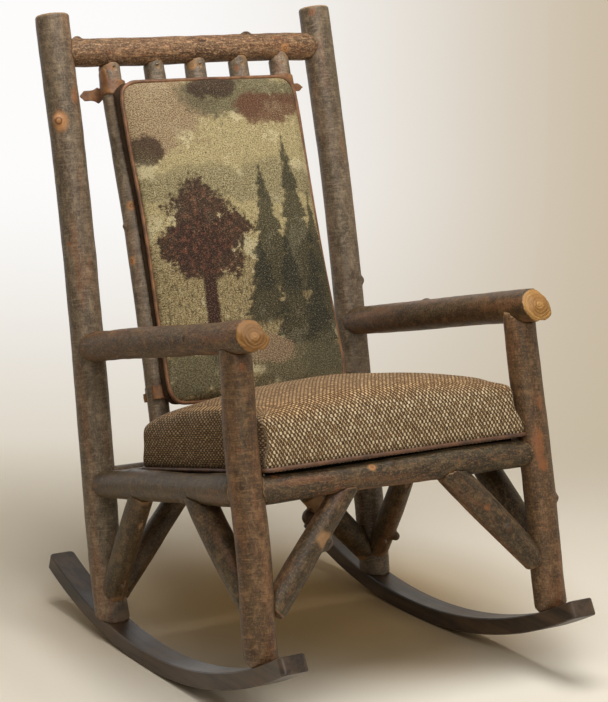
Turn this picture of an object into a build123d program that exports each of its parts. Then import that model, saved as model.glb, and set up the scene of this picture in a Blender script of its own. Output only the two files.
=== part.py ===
"""Hickory rocking chair: bark-on hickory logs on two bent rockers, a tight upholstered seat and a tied back cushion.

The chair is drawn in its own square frame, in mm: X across, Y back along the seat rails, Z up along the posts. Every
solid is then leaned back by LEAN about the centre of the rockers, where the chair stands at its own balance, and moved
so that the origin is on the floor under the middle of its length and width.
"""

import os
from math import cos, degrees, pi, radians, sin, sqrt

from build123d import *

# Rockers: arcs about one centre in the square frame, their lowest point ROCKER_DROP below its zero
LEAN = 11.6
ROCKER_Y = 220.2
ROCKER_DROP = 60.3
ROCKER_R = 1040.0
ROCKER_T = 30.0
ROCKER_W = 50.0
ROCKER_INSET = 1.0
ROCKER_FRONT = 17.9
ROCKER_BACK = 34.1
ROCKER_NOSE = 9.0
ROCKER_EDGE = 2.0
ROCKER_Z = ROCKER_R - ROCKER_DROP

# One step of the unevenness of natural sticks: crooks, swellings and changes of girth are counted in it
CROOK = 1.0

# Posts and rails: centre lines of the square frame and nominal radii
POST_X = 286.0
BACK_Y = 573.0
FRONT_POST_R = 28.0
REAR_POST_R = 30.0
SIDE_Z = 278.0
SIDE_RAIL_R = 27.0
FRONT_RAIL_RISE = -4.5
FRONT_RAIL_R = 24.0
REAR_RAIL_RISE = 6.0
REAR_RAIL_R = 24.0
ARM_Z = 527.0
ARM_LEFT_R = 27.0
ARM_RIGHT_R = 28.0
ARM_LEFT_OVERHANG = 82.0
ARM_RIGHT_OVERHANG = 60.0
CREST_Z = 1072.0
CREST_R = 26.0
POST_TOP_LEFT = 71.0
POST_TOP_RIGHT = 77.0
SPINDLE_RAIL_SET = 61.0
SPINDLE_RAIL_RISE = 2.0
SPINDLE_RAIL_R = 22.0
FOOT_Y = 2.0
FOOT_SPARE = 18.0
POST_BEVEL = 3.5
FOOT_BEVEL = 5.0
FOOT_TAPER = 11.0
FRONT_Z = SIDE_Z + FRONT_RAIL_RISE
REAR_Z = SIDE_Z + REAR_RAIL_RISE
SPINDLE_RAIL_Y = BACK_Y - SPINDLE_RAIL_SET
SPINDLE_RAIL_Z = SIDE_Z + SPINDLE_RAIL_RISE
ROCKER_X = POST_X - ROCKER_INSET

# Whittled front ends of the arms: length and depth of the flats, and their turn round the arm
WHITTLES = {"arm_left": (24.0, 7.5, 12.0), "arm_right": (16.0, 5.0, 30.0)}
WHITTLE_FLATS = 7
WHITTLE_RUNOUT = 1.5

# Joinery
FIT = 0.25
TENON_R = 11.0
TENON_DEPTH = 15.0
TENON_ROOT = 14.0
RAIL_TENON_R = 9.0
RAIL_TENON_DEPTH = 13.0
SPINDLE_TENON_R = 8.0
SPINDLE_TENON_DEPTH = 12.0
MORTISE_PLAY = 0.1
MORTISE_END_PLAY = 0.4

# Spindles: across the back, straight from the crest and easing into the rail below
SPINDLE_STEP = 90.0
SPINDLE_R = 20.0
SPINDLE_EASE = 3.0
SPINDLE_BEND = 160.0
SPINDLE_X = tuple(step * SPINDLE_STEP for step in (-2, -1, 0, 1, 2))
SPINDLE_TOP_Y = BACK_Y
SPINDLE_LOW_Y = SPINDLE_RAIL_Y - SPINDLE_EASE
SPINDLE_LOW_Z = SPINDLE_RAIL_Z + SPINDLE_BEND

# Knee braces: reach along the rail, height on the post and radius of their centre lines' ends, and each brace's own
# steps more or less of the three, the radius from rail to post
BRACE_REACH = 195.0
BRACE_FOOT = 58.0
BRACE_R = 23.0
BRACES = {
    "front_left": (0, -8, (-2.5, -2, -1, -0.5, -2)),
    "front_right": (2, 0, (0.5, 2, 1.5, -0.5, -2.5)),
    "back_left": (6, 1, (-2, -1.5, -1, -1, -2)),
    "back_right": (6, 1, (0, 1.5, 2, 2, 0)),
    "side_front_left": (-6, 6, (1, 3.5, 3, 1.5, -0.5)),
    "side_front_right": (-6, 6, (1, 2, 2, 1, 0)),
    "side_rear_left": (-2, 2, (-0.5, -0.5, 0, 0, -1)),
    "side_rear_right": (-9, 2, (-2, -1.5, -1, -1, -1.5)),
}
BRACE_STUBS = {
    "front_left": [(0.396, (10.2, -4.5, -9.0), 17)],
    "front_right": [(0.559, (-3.0, -17.3, -3.1), 12)],
    "back_right": [(0.455, (-26.5, -2.0, -23.6), 18)],
    "side_rear_right": [(0.745, (13.6, -15.6, -13.5), 9)],
}
BRACE_BOW = 2.0
BRACE_NIP = 34.0
BRACE_HOSTS = {
    "front": ("front_rail", "front_post_{}"),
    "back": ("rear_rail", "rear_post_{}"),
    "side_front": ("side_rail_{}", "front_post_{}"),
    "side_rear": ("side_rail_{}", "rear_post_{}"),
}
SIDES = ((-1, "left"), (1, "right"))

# Seat: between the front posts and in front of the spindles
SEAT_SIDE_GAP = 1.45
SEAT_FRONT = -12.0
SEAT_BACK_GAP = 82.0
SEAT_CORNER = 24.0
SEAT_RISE = 28.0
SEAT_H = 131.0
SEAT_CROWN_R = 1000.0
SEAT_CROWN_SHIFT = 12.0
SEAT_SOFT_EDGE = 13.0
BOARD_T = 18.0
CLOTH = 1.6
CLOTH_PLAY = 0.05
SEAT_WELT_R = 3.0
CLEAT_W = 22.0
CLEAT_GAP = 0.6
CLEAT_Y = 32.0
CLEAT_BACK_GAP = 8.0
CLEAT_H = 36.0
DUST_T = 1.0
DUST_MARGIN = 3.0
SEAT_W = POST_X - FRONT_POST_R - 2 * SEAT_WELT_R - SEAT_SIDE_GAP
SEAT_BACK = SPINDLE_RAIL_Y - SEAT_BACK_GAP
SEAT_Z = SIDE_Z + SEAT_RISE
SEAT_TOP = SEAT_Z + SEAT_H
SEAT_CROWN_Y = (SEAT_FRONT + SEAT_BACK) / 2 - SEAT_CROWN_SHIFT
CLEAT_X = POST_X - SIDE_RAIL_R - CLEAT_GAP - CLEAT_W / 2
CLEAT_L = SEAT_BACK - CLEAT_BACK_GAP - CLEAT_Y

# Back cushion: in front of the spindles, from behind the seat to under the crest
CUSHION_LAP = 1.0
CUSHION_SINK = 29.0
CUSHION_DROP = 69.0
CUSHION_CORNER = 27.0
CUSHION_T = 54.0
CUSHION_CROSS_R = 850.0
CUSHION_CROWN_R = 2600.0
CUSHION_SOFT_EDGE = 9.0
CUSHION_WELT_R = 2.3
CUSHION_WELT_Z = 24.0
BACKING_T = 1.4
CUSHION_W = SPINDLE_X[-1] + CUSHION_LAP
CUSHION_LOW = SEAT_TOP - CUSHION_SINK
CUSHION_HIGH = CREST_Z - CUSHION_DROP

# Leather ties
TIE_T = 2.4
TIE_SPARE = 2.0
TIE_GAP = 0.3
TIE_H = 26.0
TIE_TOP_INSET = 9.0
TIE_LOW_INSET = 25.0
TIE_TAIL = 38.0
TIE_TAIL_H = 16.0
TIE_TAIL_POINT = 10.0
TIE_TAIL_DROP = 6.0

# Fasteners: length, shank radius, head radius, head thickness and the radius of the pocket over the head
FASTENERS = {
    "rocker_lags": (54.0, 4.0, 6.5, 5.0, 8.5),
    "brace_screws": (50.0, 2.2, 4.2, 3.0, 4.2),
    "board_screws": (44.0, 2.2, 4.2, 3.0, 4.2),
    "cleat_screws": (44.0, 2.2, 4.2, 3.0, 4.2),
    "spindle_nails": (42.0, 1.5, 3.2, 1.4, 3.2),
}
HOLE_PLAY = 0.05
HOLE_END_PLAY = 0.3
LAG_SINK = 12.0
BRACE_SCREW_IN = 46.0
BRACE_SCREW_UP = 24.0
BRACE_SCREW_SIDE = 22.0
BOARD_SCREW_X = CLEAT_X - CLEAT_W / 4
BOARD_SCREW_INSET = 38.0
CLEAT_SCREW_STEP = 30.0
SCREW_SINK = 2.0
NAIL_DROP = 30.0

parts = {}
sticks = {}
swellings = {}
fasteners = {}


def wander(start, end, nominal, steps, bow=(0, 0, 0), sway=(0, 0, 0)):
    """Stations of a natural stick from start to end, its middle pushed aside by bow and its halves by sway."""
    start, end, bow, sway = Vector(*start), Vector(*end), CROOK * Vector(*bow), CROOK * Vector(*sway)
    last = len(steps) - 1
    return [
        (start + (end - start) * (i / last) + bow * sin(pi * i / last) + sway * sin(2 * pi * i / last),
         nominal + CROOK * step)
        for i, step in enumerate(steps)
    ]


def upright(x, y, low, high, nominal, rows):
    """Stations of a post at x and y, from rows of (share of its height, steps in X, steps in Y, steps in radius)."""
    return [
        (Vector(x + CROOK * dx, y + CROOK * dy, low + (high - low) * share), nominal + CROOK * thick)
        for share, dx, dy, thick in rows
    ]


def tread(y):
    """Height of the rockers' upper face at a distance back."""
    return ROCKER_Z - sqrt((ROCKER_R - ROCKER_T) ** 2 - (y - ROCKER_Y) ** 2)


def along_stick(stations, share):
    """The point of a stick's centre line at a share of its length."""
    runs = [(after[0] - before[0]).length for before, after in zip(stations, stations[1:])]
    left = share * sum(runs)
    for before, after, run in zip(stations, stations[1:], runs):
        if left <= run:
            return before[0] + (after[0] - before[0]) * (left / run)
        left -= run
    return stations[-1][0]


def girth_at(name, point):
    """The radius of a named stick at its station nearest to a point."""
    return min(sticks[name], key=lambda station: (station[0] - point).length)[1]


def stick(stations, grow=0.0):
    """The round body of a stick, lofted through a circle at each station."""
    sections = []
    for i, (centre, radius) in enumerate(stations):
        along = stations[min(i + 1, len(stations) - 1)][0] - stations[max(i - 1, 0)][0]
        along = along.normalized()
        reference = Vector(1, 0, 0) if abs(along.X) < 0.8 else Vector(0, 0, 1)
        across = (reference - along * reference.dot(along)).normalized()
        sections.append(Plane(origin=centre, x_dir=across, z_dir=along) * Circle(radius + grow))
    return loft(sections)


def biggest(shape):
    """The largest solid of a cut, without the chips."""
    return max(shape.solids(), key=lambda solid: solid.volume)


def rod(start, end, radius):
    """A cylinder between two points."""
    start, end = Vector(*start), Vector(*end)
    line = end - start
    plane = Plane(origin=start, z_dir=line.normalized())
    return plane * Cylinder(radius, line.length, align=(Align.CENTER, Align.CENTER, Align.MIN))


def add_stick(name, stations, knots=()):
    """Names a stick and gives it knots, each a ball (share of the length, steps off the centre line, radius)."""
    sticks[name] = stations
    swellings[name] = [
        (along_stick(stations, share) + CROOK * Vector(*offset), CROOK * radius) for share, offset, radius in knots
    ]
    parts[name] = biggest(whole_stick(name))


def whole_stick(name, grow=0.0):
    """A stick with its knots, before anything is cut from it."""
    body = stick(sticks[name], grow)
    for centre, radius in swellings[name]:
        body = body + Pos(centre) * Sphere(radius + grow)
    return body


def cope(name, host):
    """Shapes a stick's end to the round of the stick that it butts on."""
    parts[name] = biggest(parts[name] - whole_stick(host, FIT))


def mitre(name, neighbour, host):
    """Shapes a stick's end to a neighbour that shares its host, leaving the tenon inside the host whole."""
    parts[name] = biggest(parts[name] - (whole_stick(neighbour, FIT) - stick(sticks[host])))


def tenon(name, host, at_end, radius=TENON_R, depth=TENON_DEPTH):
    """Copes one end of a stick to its host and sets the round tenon on that end in a mortise."""
    cope(name, host)
    ends = sticks[name] if at_end else sticks[name][::-1]
    tip, inner = ends[-1][0], ends[-2][0]
    along = (tip - inner).normalized()
    girth = girth_at(host, tip)
    reach = tip - along * (girth - depth)
    root = tip - along * (girth + TENON_ROOT)
    parts[name] = biggest(parts[name] + rod(root, reach, radius))
    parts[host] = biggest(parts[host] - rod(root, reach + along * MORTISE_END_PLAY, radius + MORTISE_PLAY))


def fastener(kind, head, aim, through):
    """Drives one fastener from head towards aim, and bores every piece that it passes through."""
    length, radius, head_r, head_t, pocket_r = FASTENERS[kind]
    head, aim = Vector(*head), Vector(*aim)
    along = (aim - head).normalized()
    body = rod(head, head + along * length, radius) + rod(head, head + along * head_t, head_r)
    hole = rod(head, head + along * (length + HOLE_END_PLAY), radius + HOLE_PLAY)
    pocket = rod(head - along * length, head + along * (head_t + HOLE_PLAY), pocket_r + HOLE_PLAY)
    for name in through:
        parts[name] = biggest(parts[name] - (hole + pocket))
    fasteners.setdefault(kind, []).append(body.solid())


def make_posts():
    """The four uprights, each with the crook of its own tree."""
    rear_foot = tread(BACK_Y) - FOOT_SPARE
    front_foot = tread(0) - FOOT_SPARE
    add_stick(
        "rear_post_left",
        upright(-POST_X, BACK_Y, rear_foot, CREST_Z + POST_TOP_LEFT, REAR_POST_R, [
            (0, 0, 0, 1.5),
            (0.208, -1, 2, 1),
            (0.421, 2, -5, 1),
            (0.607, 4, -8, 0.5),
            (0.785, 4, -7, 1),
            (0.909, 2, -4, 1.5),
            (1, 1, -3, 1),
        ]),
        knots=[(0.827, (-23.3, -20, 0), 9)],
    )
    add_stick(
        "rear_post_right",
        upright(POST_X, BACK_Y, rear_foot, CREST_Z + POST_TOP_RIGHT, REAR_POST_R, [
            (0, -2, 4, 0),
            (0.207, 0, 1, -0.5),
            (0.428, 0, 0, 0),
            (0.692, 0, 0, -1),
            (0.833, -3, 3, -0.5),
            (0.922, -5, 6, 0),
            (1, -7, 8, -0.5),
        ]),
        knots=[(0.521, (21, -12, 0), 11)],
    )
    add_stick(
        "front_post_left",
        upright(-POST_X, 0, front_foot, ARM_Z, FRONT_POST_R, [
            (0, -1, 2, 0),
            (0.219, -3, 3, 0.5),
            (0.402, -1, 1, 0.5),
            (0.585, -2, 3, 0.5),
            (0.804, 0, 0, -0.5),
            (1, 0, -1, -2),
        ]),
        knots=[(0.618, (-19.3, -10.6, 0), 9)],
    )
    add_stick(
        "front_post_right",
        upright(POST_X, 0, front_foot, ARM_Z, FRONT_POST_R, [
            (0, 1, -1, 0.5),
            (0.311, 0, 1, 0),
            (0.585, 0, 2, 0),
            (0.768, -2, 4, 0.3),
            (1, -3, 3, -0.5),
        ]),
        knots=[(0.384, (19, -12.3, 0), 10)],
    )


def make_rails():
    """The crest, the seat rails, the spindle rail and the arms, each from left to right or from front to back."""
    c = CROOK
    add_stick(
        "crest_rail",
        wander((-POST_X + 2 * c, BACK_Y - 4 * c, CREST_Z), (POST_X - 5 * c, BACK_Y + 6 * c, CREST_Z), CREST_R,
               [0, 0.5, 0, 0, 0.5, 0.5], bow=(0, -2, 0), sway=(0, 0, -1)),
        knots=[(0.078, (0, 0, 20.4), 11), (0.708, (0, -3.6, 20.2), 11.5)],
    )
    add_stick(
        "rear_rail",
        wander((-POST_X - c, BACK_Y + 2 * c, REAR_Z), (POST_X, BACK_Y + c, REAR_Z), REAR_RAIL_R,
               [0, 0.5, -0.5, 0, 0], bow=(0, 2, -2)),
    )
    add_stick(
        "front_rail",
        wander((-POST_X - 2 * c, 3 * c, FRONT_Z), (POST_X, 2 * c, FRONT_Z - 2 * c), FRONT_RAIL_R,
               [0, -1.5, -1.5, 0.5, 1, -0.5], bow=(0, -3, 1), sway=(0, 0, -1)),
        knots=[(0.464, (0, -10.7, 9.2), 13)],
    )
    for (side, name), second in zip(SIDES, (0.742, 0.829)):
        add_stick(
            f"side_rail_{name}",
            wander((side * POST_X, 0, SIDE_Z), (side * POST_X, BACK_Y, SIDE_Z), SIDE_RAIL_R,
                   [-1, 0, -1, 0.5, -0.5, 0], sway=(0, 0, side * 1.5)),
            knots=[(0.358, (side * 4, 0, -12), 17), (second, (0, 0, 9), 20)],
        )
    add_stick(
        "spindle_rail",
        wander((-POST_X, SPINDLE_RAIL_Y, SPINDLE_RAIL_Z), (POST_X, SPINDLE_RAIL_Y, SPINDLE_RAIL_Z), SPINDLE_RAIL_R,
               [0, 1, 0.5, 1, 0], bow=(0, 2, 0)),
    )
    add_stick(
        "arm_left",
        wander((-POST_X - c, -ARM_LEFT_OVERHANG, ARM_Z - 3 * c), (-POST_X + 2 * c, BACK_Y - 6 * c, ARM_Z + 3 * c),
               ARM_LEFT_R, [0, -0.5, -0.5, 0.5, 0, 0.5], bow=(-3, 0, 1), sway=(0, 0, -1)),
        knots=[(0.308, (-14.6, 0, 3.1), 13), (0.735, (-1.1, 0, 13.1), 14)],
    )
    add_stick(
        "arm_right",
        wander((POST_X - 2 * c, -ARM_RIGHT_OVERHANG, ARM_Z - 2 * c), (POST_X, BACK_Y, ARM_Z + c), ARM_RIGHT_R,
               [1, 0.5, 0, 0, -0.5, -0.5], bow=(3, 0, 0), sway=(0, 0, 1)),
        knots=[(0.569, (1, 0, 15.7), 15)],
    )


def make_spindles():
    """Five spindles under the crest, easing forward to the rail behind the seat."""
    wobble = ((-2, 2, 0.3), (2, -1, 0), (-3, 1, 0.6), (2, 2, -0.4), (3, -2, 0.2))
    for number, (x, (sideways, forward, thick)) in enumerate(zip(SPINDLE_X, wobble), start=1):
        girth = SPINDLE_R + CROOK * thick
        sideways, forward = CROOK * sideways, CROOK * forward
        middle_y = (SPINDLE_TOP_Y + SPINDLE_LOW_Y) / 2
        middle_z = (CREST_Z + SPINDLE_LOW_Z) / 2
        neck = (CREST_Z - SPINDLE_LOW_Z) / 8
        stations = [
            (Vector(x, SPINDLE_RAIL_Y, SPINDLE_RAIL_Z), girth - CROOK),
            (Vector(x, SPINDLE_RAIL_Y - SPINDLE_EASE * 2 / 3, SPINDLE_RAIL_Z + SPINDLE_BEND * 3 / 8), girth - CROOK / 2),
            (Vector(x + sideways, SPINDLE_LOW_Y, SPINDLE_LOW_Z), girth - CROOK / 2),
            (Vector(x - sideways, middle_y + forward / 2, middle_z), girth - CROOK),
            (Vector(x + sideways / 2, SPINDLE_TOP_Y - (SPINDLE_TOP_Y - SPINDLE_LOW_Y) / 8, CREST_Z - neck), girth),
            (Vector(x, SPINDLE_TOP_Y, CREST_Z), girth - CROOK / 2),
        ]
        bump = (0.56 + 0.027 * number, (17 * (-1) ** number, 0, 0), 6)
        add_stick(f"spindle_{number}", stations, knots=[bump])


def brace_line(kind, side, name):
    """Where a knee brace's centre line meets its rail and its post."""
    more_reach, more_foot, _ = BRACES[f"{kind}_{name}"]
    reach = BRACE_REACH + CROOK * more_reach
    foot = BRACE_FOOT + CROOK * more_foot
    x = side * POST_X
    if kind == "front":
        return (side * (POST_X - reach), 0, FRONT_Z), (x, FOOT_Y, foot)
    if kind == "back":
        return (side * (POST_X - reach), BACK_Y, REAR_Z), (x, BACK_Y + FOOT_Y, foot)
    if kind == "side_front":
        return (x, reach, SIDE_Z), (x, FOOT_Y, foot)
    return (x, BACK_Y + FOOT_Y - reach, SIDE_Z), (x, BACK_Y + FOOT_Y, foot)


def make_braces():
    """Eight knee braces, two at the foot of every post."""
    for kind in BRACE_HOSTS:
        for side, name in SIDES:
            start, end = brace_line(kind, side, name)
            bow = (0, -side * BRACE_BOW, 0) if kind in ("front", "back") else (side * BRACE_BOW, 0, 0)
            steps = BRACES[f"{kind}_{name}"][2]
            stubs = BRACE_STUBS.get(f"{kind}_{name}", ())
            add_stick(f"{kind}_brace_{name}", wander(start, end, BRACE_R, steps, bow=bow), stubs)


def join_frame():
    """Copes and tenons every log to its neighbours."""
    for side, at_end in (("left", False), ("right", True)):
        tenon("crest_rail", f"rear_post_{side}", at_end)
        tenon("rear_rail", f"rear_post_{side}", at_end)
        tenon("front_rail", f"front_post_{side}", at_end)
        tenon("spindle_rail", f"side_rail_{side}", at_end, RAIL_TENON_R, RAIL_TENON_DEPTH)
        tenon(f"side_rail_{side}", f"front_post_{side}", False)
        tenon(f"side_rail_{side}", f"rear_post_{side}", True)
        tenon(f"arm_{side}", f"rear_post_{side}", True)
        tenon(f"front_post_{side}", f"arm_{side}", True)
        mitre(f"side_rail_{side}", "front_rail", f"front_post_{side}")
        mitre(f"side_rail_{side}", "rear_rail", f"rear_post_{side}")
    for number in range(1, len(SPINDLE_X) + 1):
        name = f"spindle_{number}"
        tenon(name, "spindle_rail", False, SPINDLE_TENON_R, SPINDLE_TENON_DEPTH)
        tenon(name, "crest_rail", True, SPINDLE_TENON_R, SPINDLE_TENON_DEPTH)
    for _, side in SIDES:
        cope(f"front_brace_{side}", "front_rail")
        cope(f"front_brace_{side}", f"front_post_{side}")
        cope(f"back_brace_{side}", "rear_rail")
        cope(f"back_brace_{side}", f"rear_post_{side}")
        for kind, post in (("side_front", "front_post"), ("side_rear", "rear_post")):
            cope(f"{kind}_brace_{side}", f"side_rail_{side}")
            cope(f"{kind}_brace_{side}", f"{post}_{side}")
        cope(f"side_front_brace_{side}", f"front_brace_{side}")
        cope(f"side_rear_brace_{side}", f"back_brace_{side}")
        nip_brace(f"front_brace_{side}")


def nip_brace(name):
    """Saws the thin tip off the foot of a brace, square to its run."""
    before, foot = sticks[name][-2][0], sticks[name][-1][0]
    along = (foot - before).normalized()
    parts[name] = biggest(parts[name] - rod(foot - along * BRACE_NIP, foot + along * BRACE_NIP, 3 * BRACE_NIP))


def finish_posts():
    """Cuts the feet to the curve of the rockers, tapers them and bevels the post tops."""
    hollow = Pos(0, ROCKER_Y, ROCKER_Z) * Rot(0, 90, 0) * Cylinder(ROCKER_R - ROCKER_T - FIT, 3 * POST_X)
    for name in ("rear_post_left", "rear_post_right", "front_post_left", "front_post_right"):
        parts[name] = biggest(parts[name] & hollow)
        foot, radius = sticks[name][0]
        origin = Vector(foot.X, foot.Y, tread(foot.Y))
        inward = Vector(0, ROCKER_Y, ROCKER_Z) - Vector(0, origin.Y, origin.Z)
        sole = Plane(origin=origin, x_dir=(1, 0, 0), z_dir=inward.normalized())
        block = sole * Cylinder(radius * 2, FOOT_TAPER, align=(Align.CENTER, Align.CENTER, Align.MIN))
        cone = sole * Cone(radius - FOOT_BEVEL, radius + CROOK, FOOT_TAPER, align=(Align.CENTER, Align.CENTER, Align.MIN))
        parts[name] = biggest(parts[name] - (block - cone))
    for name in ("rear_post_left", "rear_post_right"):
        top = parts[name].faces().sort_by(Axis.Z)[-1]
        parts[name] = chamfer(top.edges(), POST_BEVEL)


def whittle_arms():
    """Whittles flats round the front end of each arm."""
    for name, (length, depth, turn) in WHITTLES.items():
        tip, radius = sticks[name][0]
        nose = Plane(origin=tip, x_dir=(1, 0, 0), z_dir=(0, 1, 0)).rotated((0, 0, turn))
        cone = loft([
            nose * RegularPolygon(radius - depth, WHITTLE_FLATS, major_radius=False),
            nose.offset(length) * RegularPolygon(radius + WHITTLE_RUNOUT, WHITTLE_FLATS, major_radius=False),
        ])
        block = nose * Cylinder(radius * 2, length, align=(Align.CENTER, Align.CENTER, Align.MIN))
        parts[name] = biggest(parts[name] - (block - cone))


def make_rockers():
    """Two steam-bent boards, rounded at the corners of their ends."""
    inner = ROCKER_R - ROCKER_T
    ring = Cylinder(ROCKER_R, ROCKER_W) - Cylinder(inner, ROCKER_W)
    ring = Pos(0, ROCKER_Y, ROCKER_Z) * Rot(0, 90, 0) * ring
    reach = ROCKER_R * 1.1
    front = (ROCKER_Y - reach * sin(radians(ROCKER_FRONT)), ROCKER_Z - reach * cos(radians(ROCKER_FRONT)))
    back = (ROCKER_Y + reach * sin(radians(ROCKER_BACK)), ROCKER_Z - reach * cos(radians(ROCKER_BACK)))
    low = (ROCKER_Y, ROCKER_Z - reach * 1.1)
    wedge = Plane.YZ * Polygon((ROCKER_Y, ROCKER_Z), front, low, back, align=None)
    board = biggest(ring & extrude(wedge, ROCKER_W, both=True))
    ends = board.edges().filter_by(lambda edge: edge.geom_type == GeomType.LINE and abs(edge.center().X) > ROCKER_W / 3)
    board = fillet(ends, ROCKER_NOSE)
    rims = board.edges().filter_by(lambda edge: edge.geom_type == GeomType.CIRCLE and edge.radius > inner / 2)
    board = chamfer(rims, ROCKER_EDGE)
    for side, name in SIDES:
        parts[f"rocker_{name}"] = Pos(side * ROCKER_X, 0, 0) * board


def seat_block(inset, bottom):
    """The crowned body of the seat, inset from its outside, down to the height given."""
    depth = SEAT_BACK - SEAT_FRONT
    middle = (SEAT_BACK + SEAT_FRONT) / 2
    plan = RectangleRounded(2 * (SEAT_W - inset), depth - 2 * inset, SEAT_CORNER - inset)
    block = Pos(0, middle, bottom) * extrude(plan, SEAT_TOP + SEAT_CORNER - bottom)
    crown = Pos(0, SEAT_CROWN_Y, SEAT_TOP - SEAT_CROWN_R) * Sphere(SEAT_CROWN_R - inset)
    block = biggest(block & crown)
    rim = block.faces().sort_by(Axis.Z)[-1].edges()
    return fillet(rim, SEAT_SOFT_EDGE - inset / 2)


def make_seat():
    """Board, foam, cloth, welt and dust cover of the seat, and the cleats that carry it."""
    middle = (SEAT_BACK + SEAT_FRONT) / 2
    inside = CLOTH + CLOTH_PLAY
    core = seat_block(inside, SEAT_Z)
    board_top = SEAT_Z + BOARD_T
    slab = Pos(0, middle, SEAT_Z) * Box(3 * SEAT_W, 3 * SEAT_W, BOARD_T, align=(Align.CENTER, Align.CENTER, Align.MIN))
    parts["seat_board"] = biggest(core & slab)
    parts["seat_foam"] = biggest(core - slab)
    hollow = seat_block(CLOTH, SEAT_Z - BOARD_T)
    parts["seat_cover"] = biggest(seat_block(0, SEAT_Z) - hollow)
    offset = SEAT_WELT_R + CLOTH_PLAY
    height = SEAT_Z + SEAT_WELT_R
    path = Pos(0, middle, height) * RectangleRounded(
        2 * (SEAT_W + offset), SEAT_BACK - SEAT_FRONT + 2 * offset, SEAT_CORNER + offset
    ).wire()
    start = Plane(origin=path @ 0, z_dir=path % 0)
    parts["seat_welt"] = sweep(start * Circle(SEAT_WELT_R), path=path)
    for side, name in SIDES:
        cleat = Box(CLEAT_W, CLEAT_L, CLEAT_H, align=(Align.CENTER, Align.MIN, Align.MAX))
        cleat = Pos(side * CLEAT_X, CLEAT_Y, SEAT_Z) * cleat
        parts[f"seat_cleat_{name}"] = biggest(cleat - whole_stick(f"side_rail_{name}", FIT))
    width = 2 * (CLEAT_X - CLEAT_W / 2 - DUST_MARGIN)
    sheet = Box(width, CLEAT_L, DUST_T, align=(Align.CENTER, Align.MIN, Align.MAX))
    parts["seat_dust_cover"] = Pos(0, CLEAT_Y, SEAT_Z) * sheet


def cushion_plane():
    """The plane of the back cushion's rear face, against the ties on the spindles, facing forward."""
    run, rise = SPINDLE_TOP_Y - SPINDLE_LOW_Y, CREST_Z - SPINDLE_LOW_Z
    length = sqrt(run**2 + rise**2)
    up = Vector(0, run / length, rise / length)
    forward = Vector(0, -rise / length, run / length)
    middle_z = (CUSHION_LOW + CUSHION_HIGH) / 2
    axis_y = SPINDLE_LOW_Y + run * (middle_z - SPINDLE_LOW_Z) / rise
    origin = Vector(0, axis_y, middle_z) + forward * (SPINDLE_R + TIE_SPARE + TIE_T + TIE_GAP)
    return Plane(origin=origin, x_dir=(1, 0, 0), z_dir=forward), up


def cushion_block(inset, bottom):
    """The crowned body of the back cushion on its own plane, inset from its outside."""
    height = CUSHION_HIGH - CUSHION_LOW
    half = CUSHION_W + CUSHION_T
    top = CUSHION_T - inset
    edge = top - CUSHION_CROSS_R + sqrt(CUSHION_CROSS_R**2 - half**2)
    arch = ThreePointArc((-half, edge), (0, top), (half, edge))
    sides = Polyline((half, edge), (half, bottom), (-half, bottom), (-half, edge))
    axis = Axis((0, 0, CUSHION_T - CUSHION_CROWN_R), (1, 0, 0))
    spread = degrees(height / CUSHION_CROWN_R) * 1.2
    barrel = revolve(Plane.XZ * make_face([arch, sides]), axis, revolution_arc=spread).rotate(axis, -spread / 2)
    plan = RectangleRounded(2 * (CUSHION_W - inset), height - 2 * inset, CUSHION_CORNER - inset)
    pillar = Pos(0, 0, -CUSHION_T) * extrude(plan, 3 * CUSHION_T)
    floor = Pos(0, 0, bottom) * Box(4 * half, 2 * height, CUSHION_T, align=(Align.CENTER, Align.CENTER, Align.MAX))
    block = biggest((barrel & pillar) - floor)
    rim = block.faces().sort_by(Axis.Z)[-1].edges()
    return fillet(rim, CUSHION_SOFT_EDGE - inset / 2)


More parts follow.
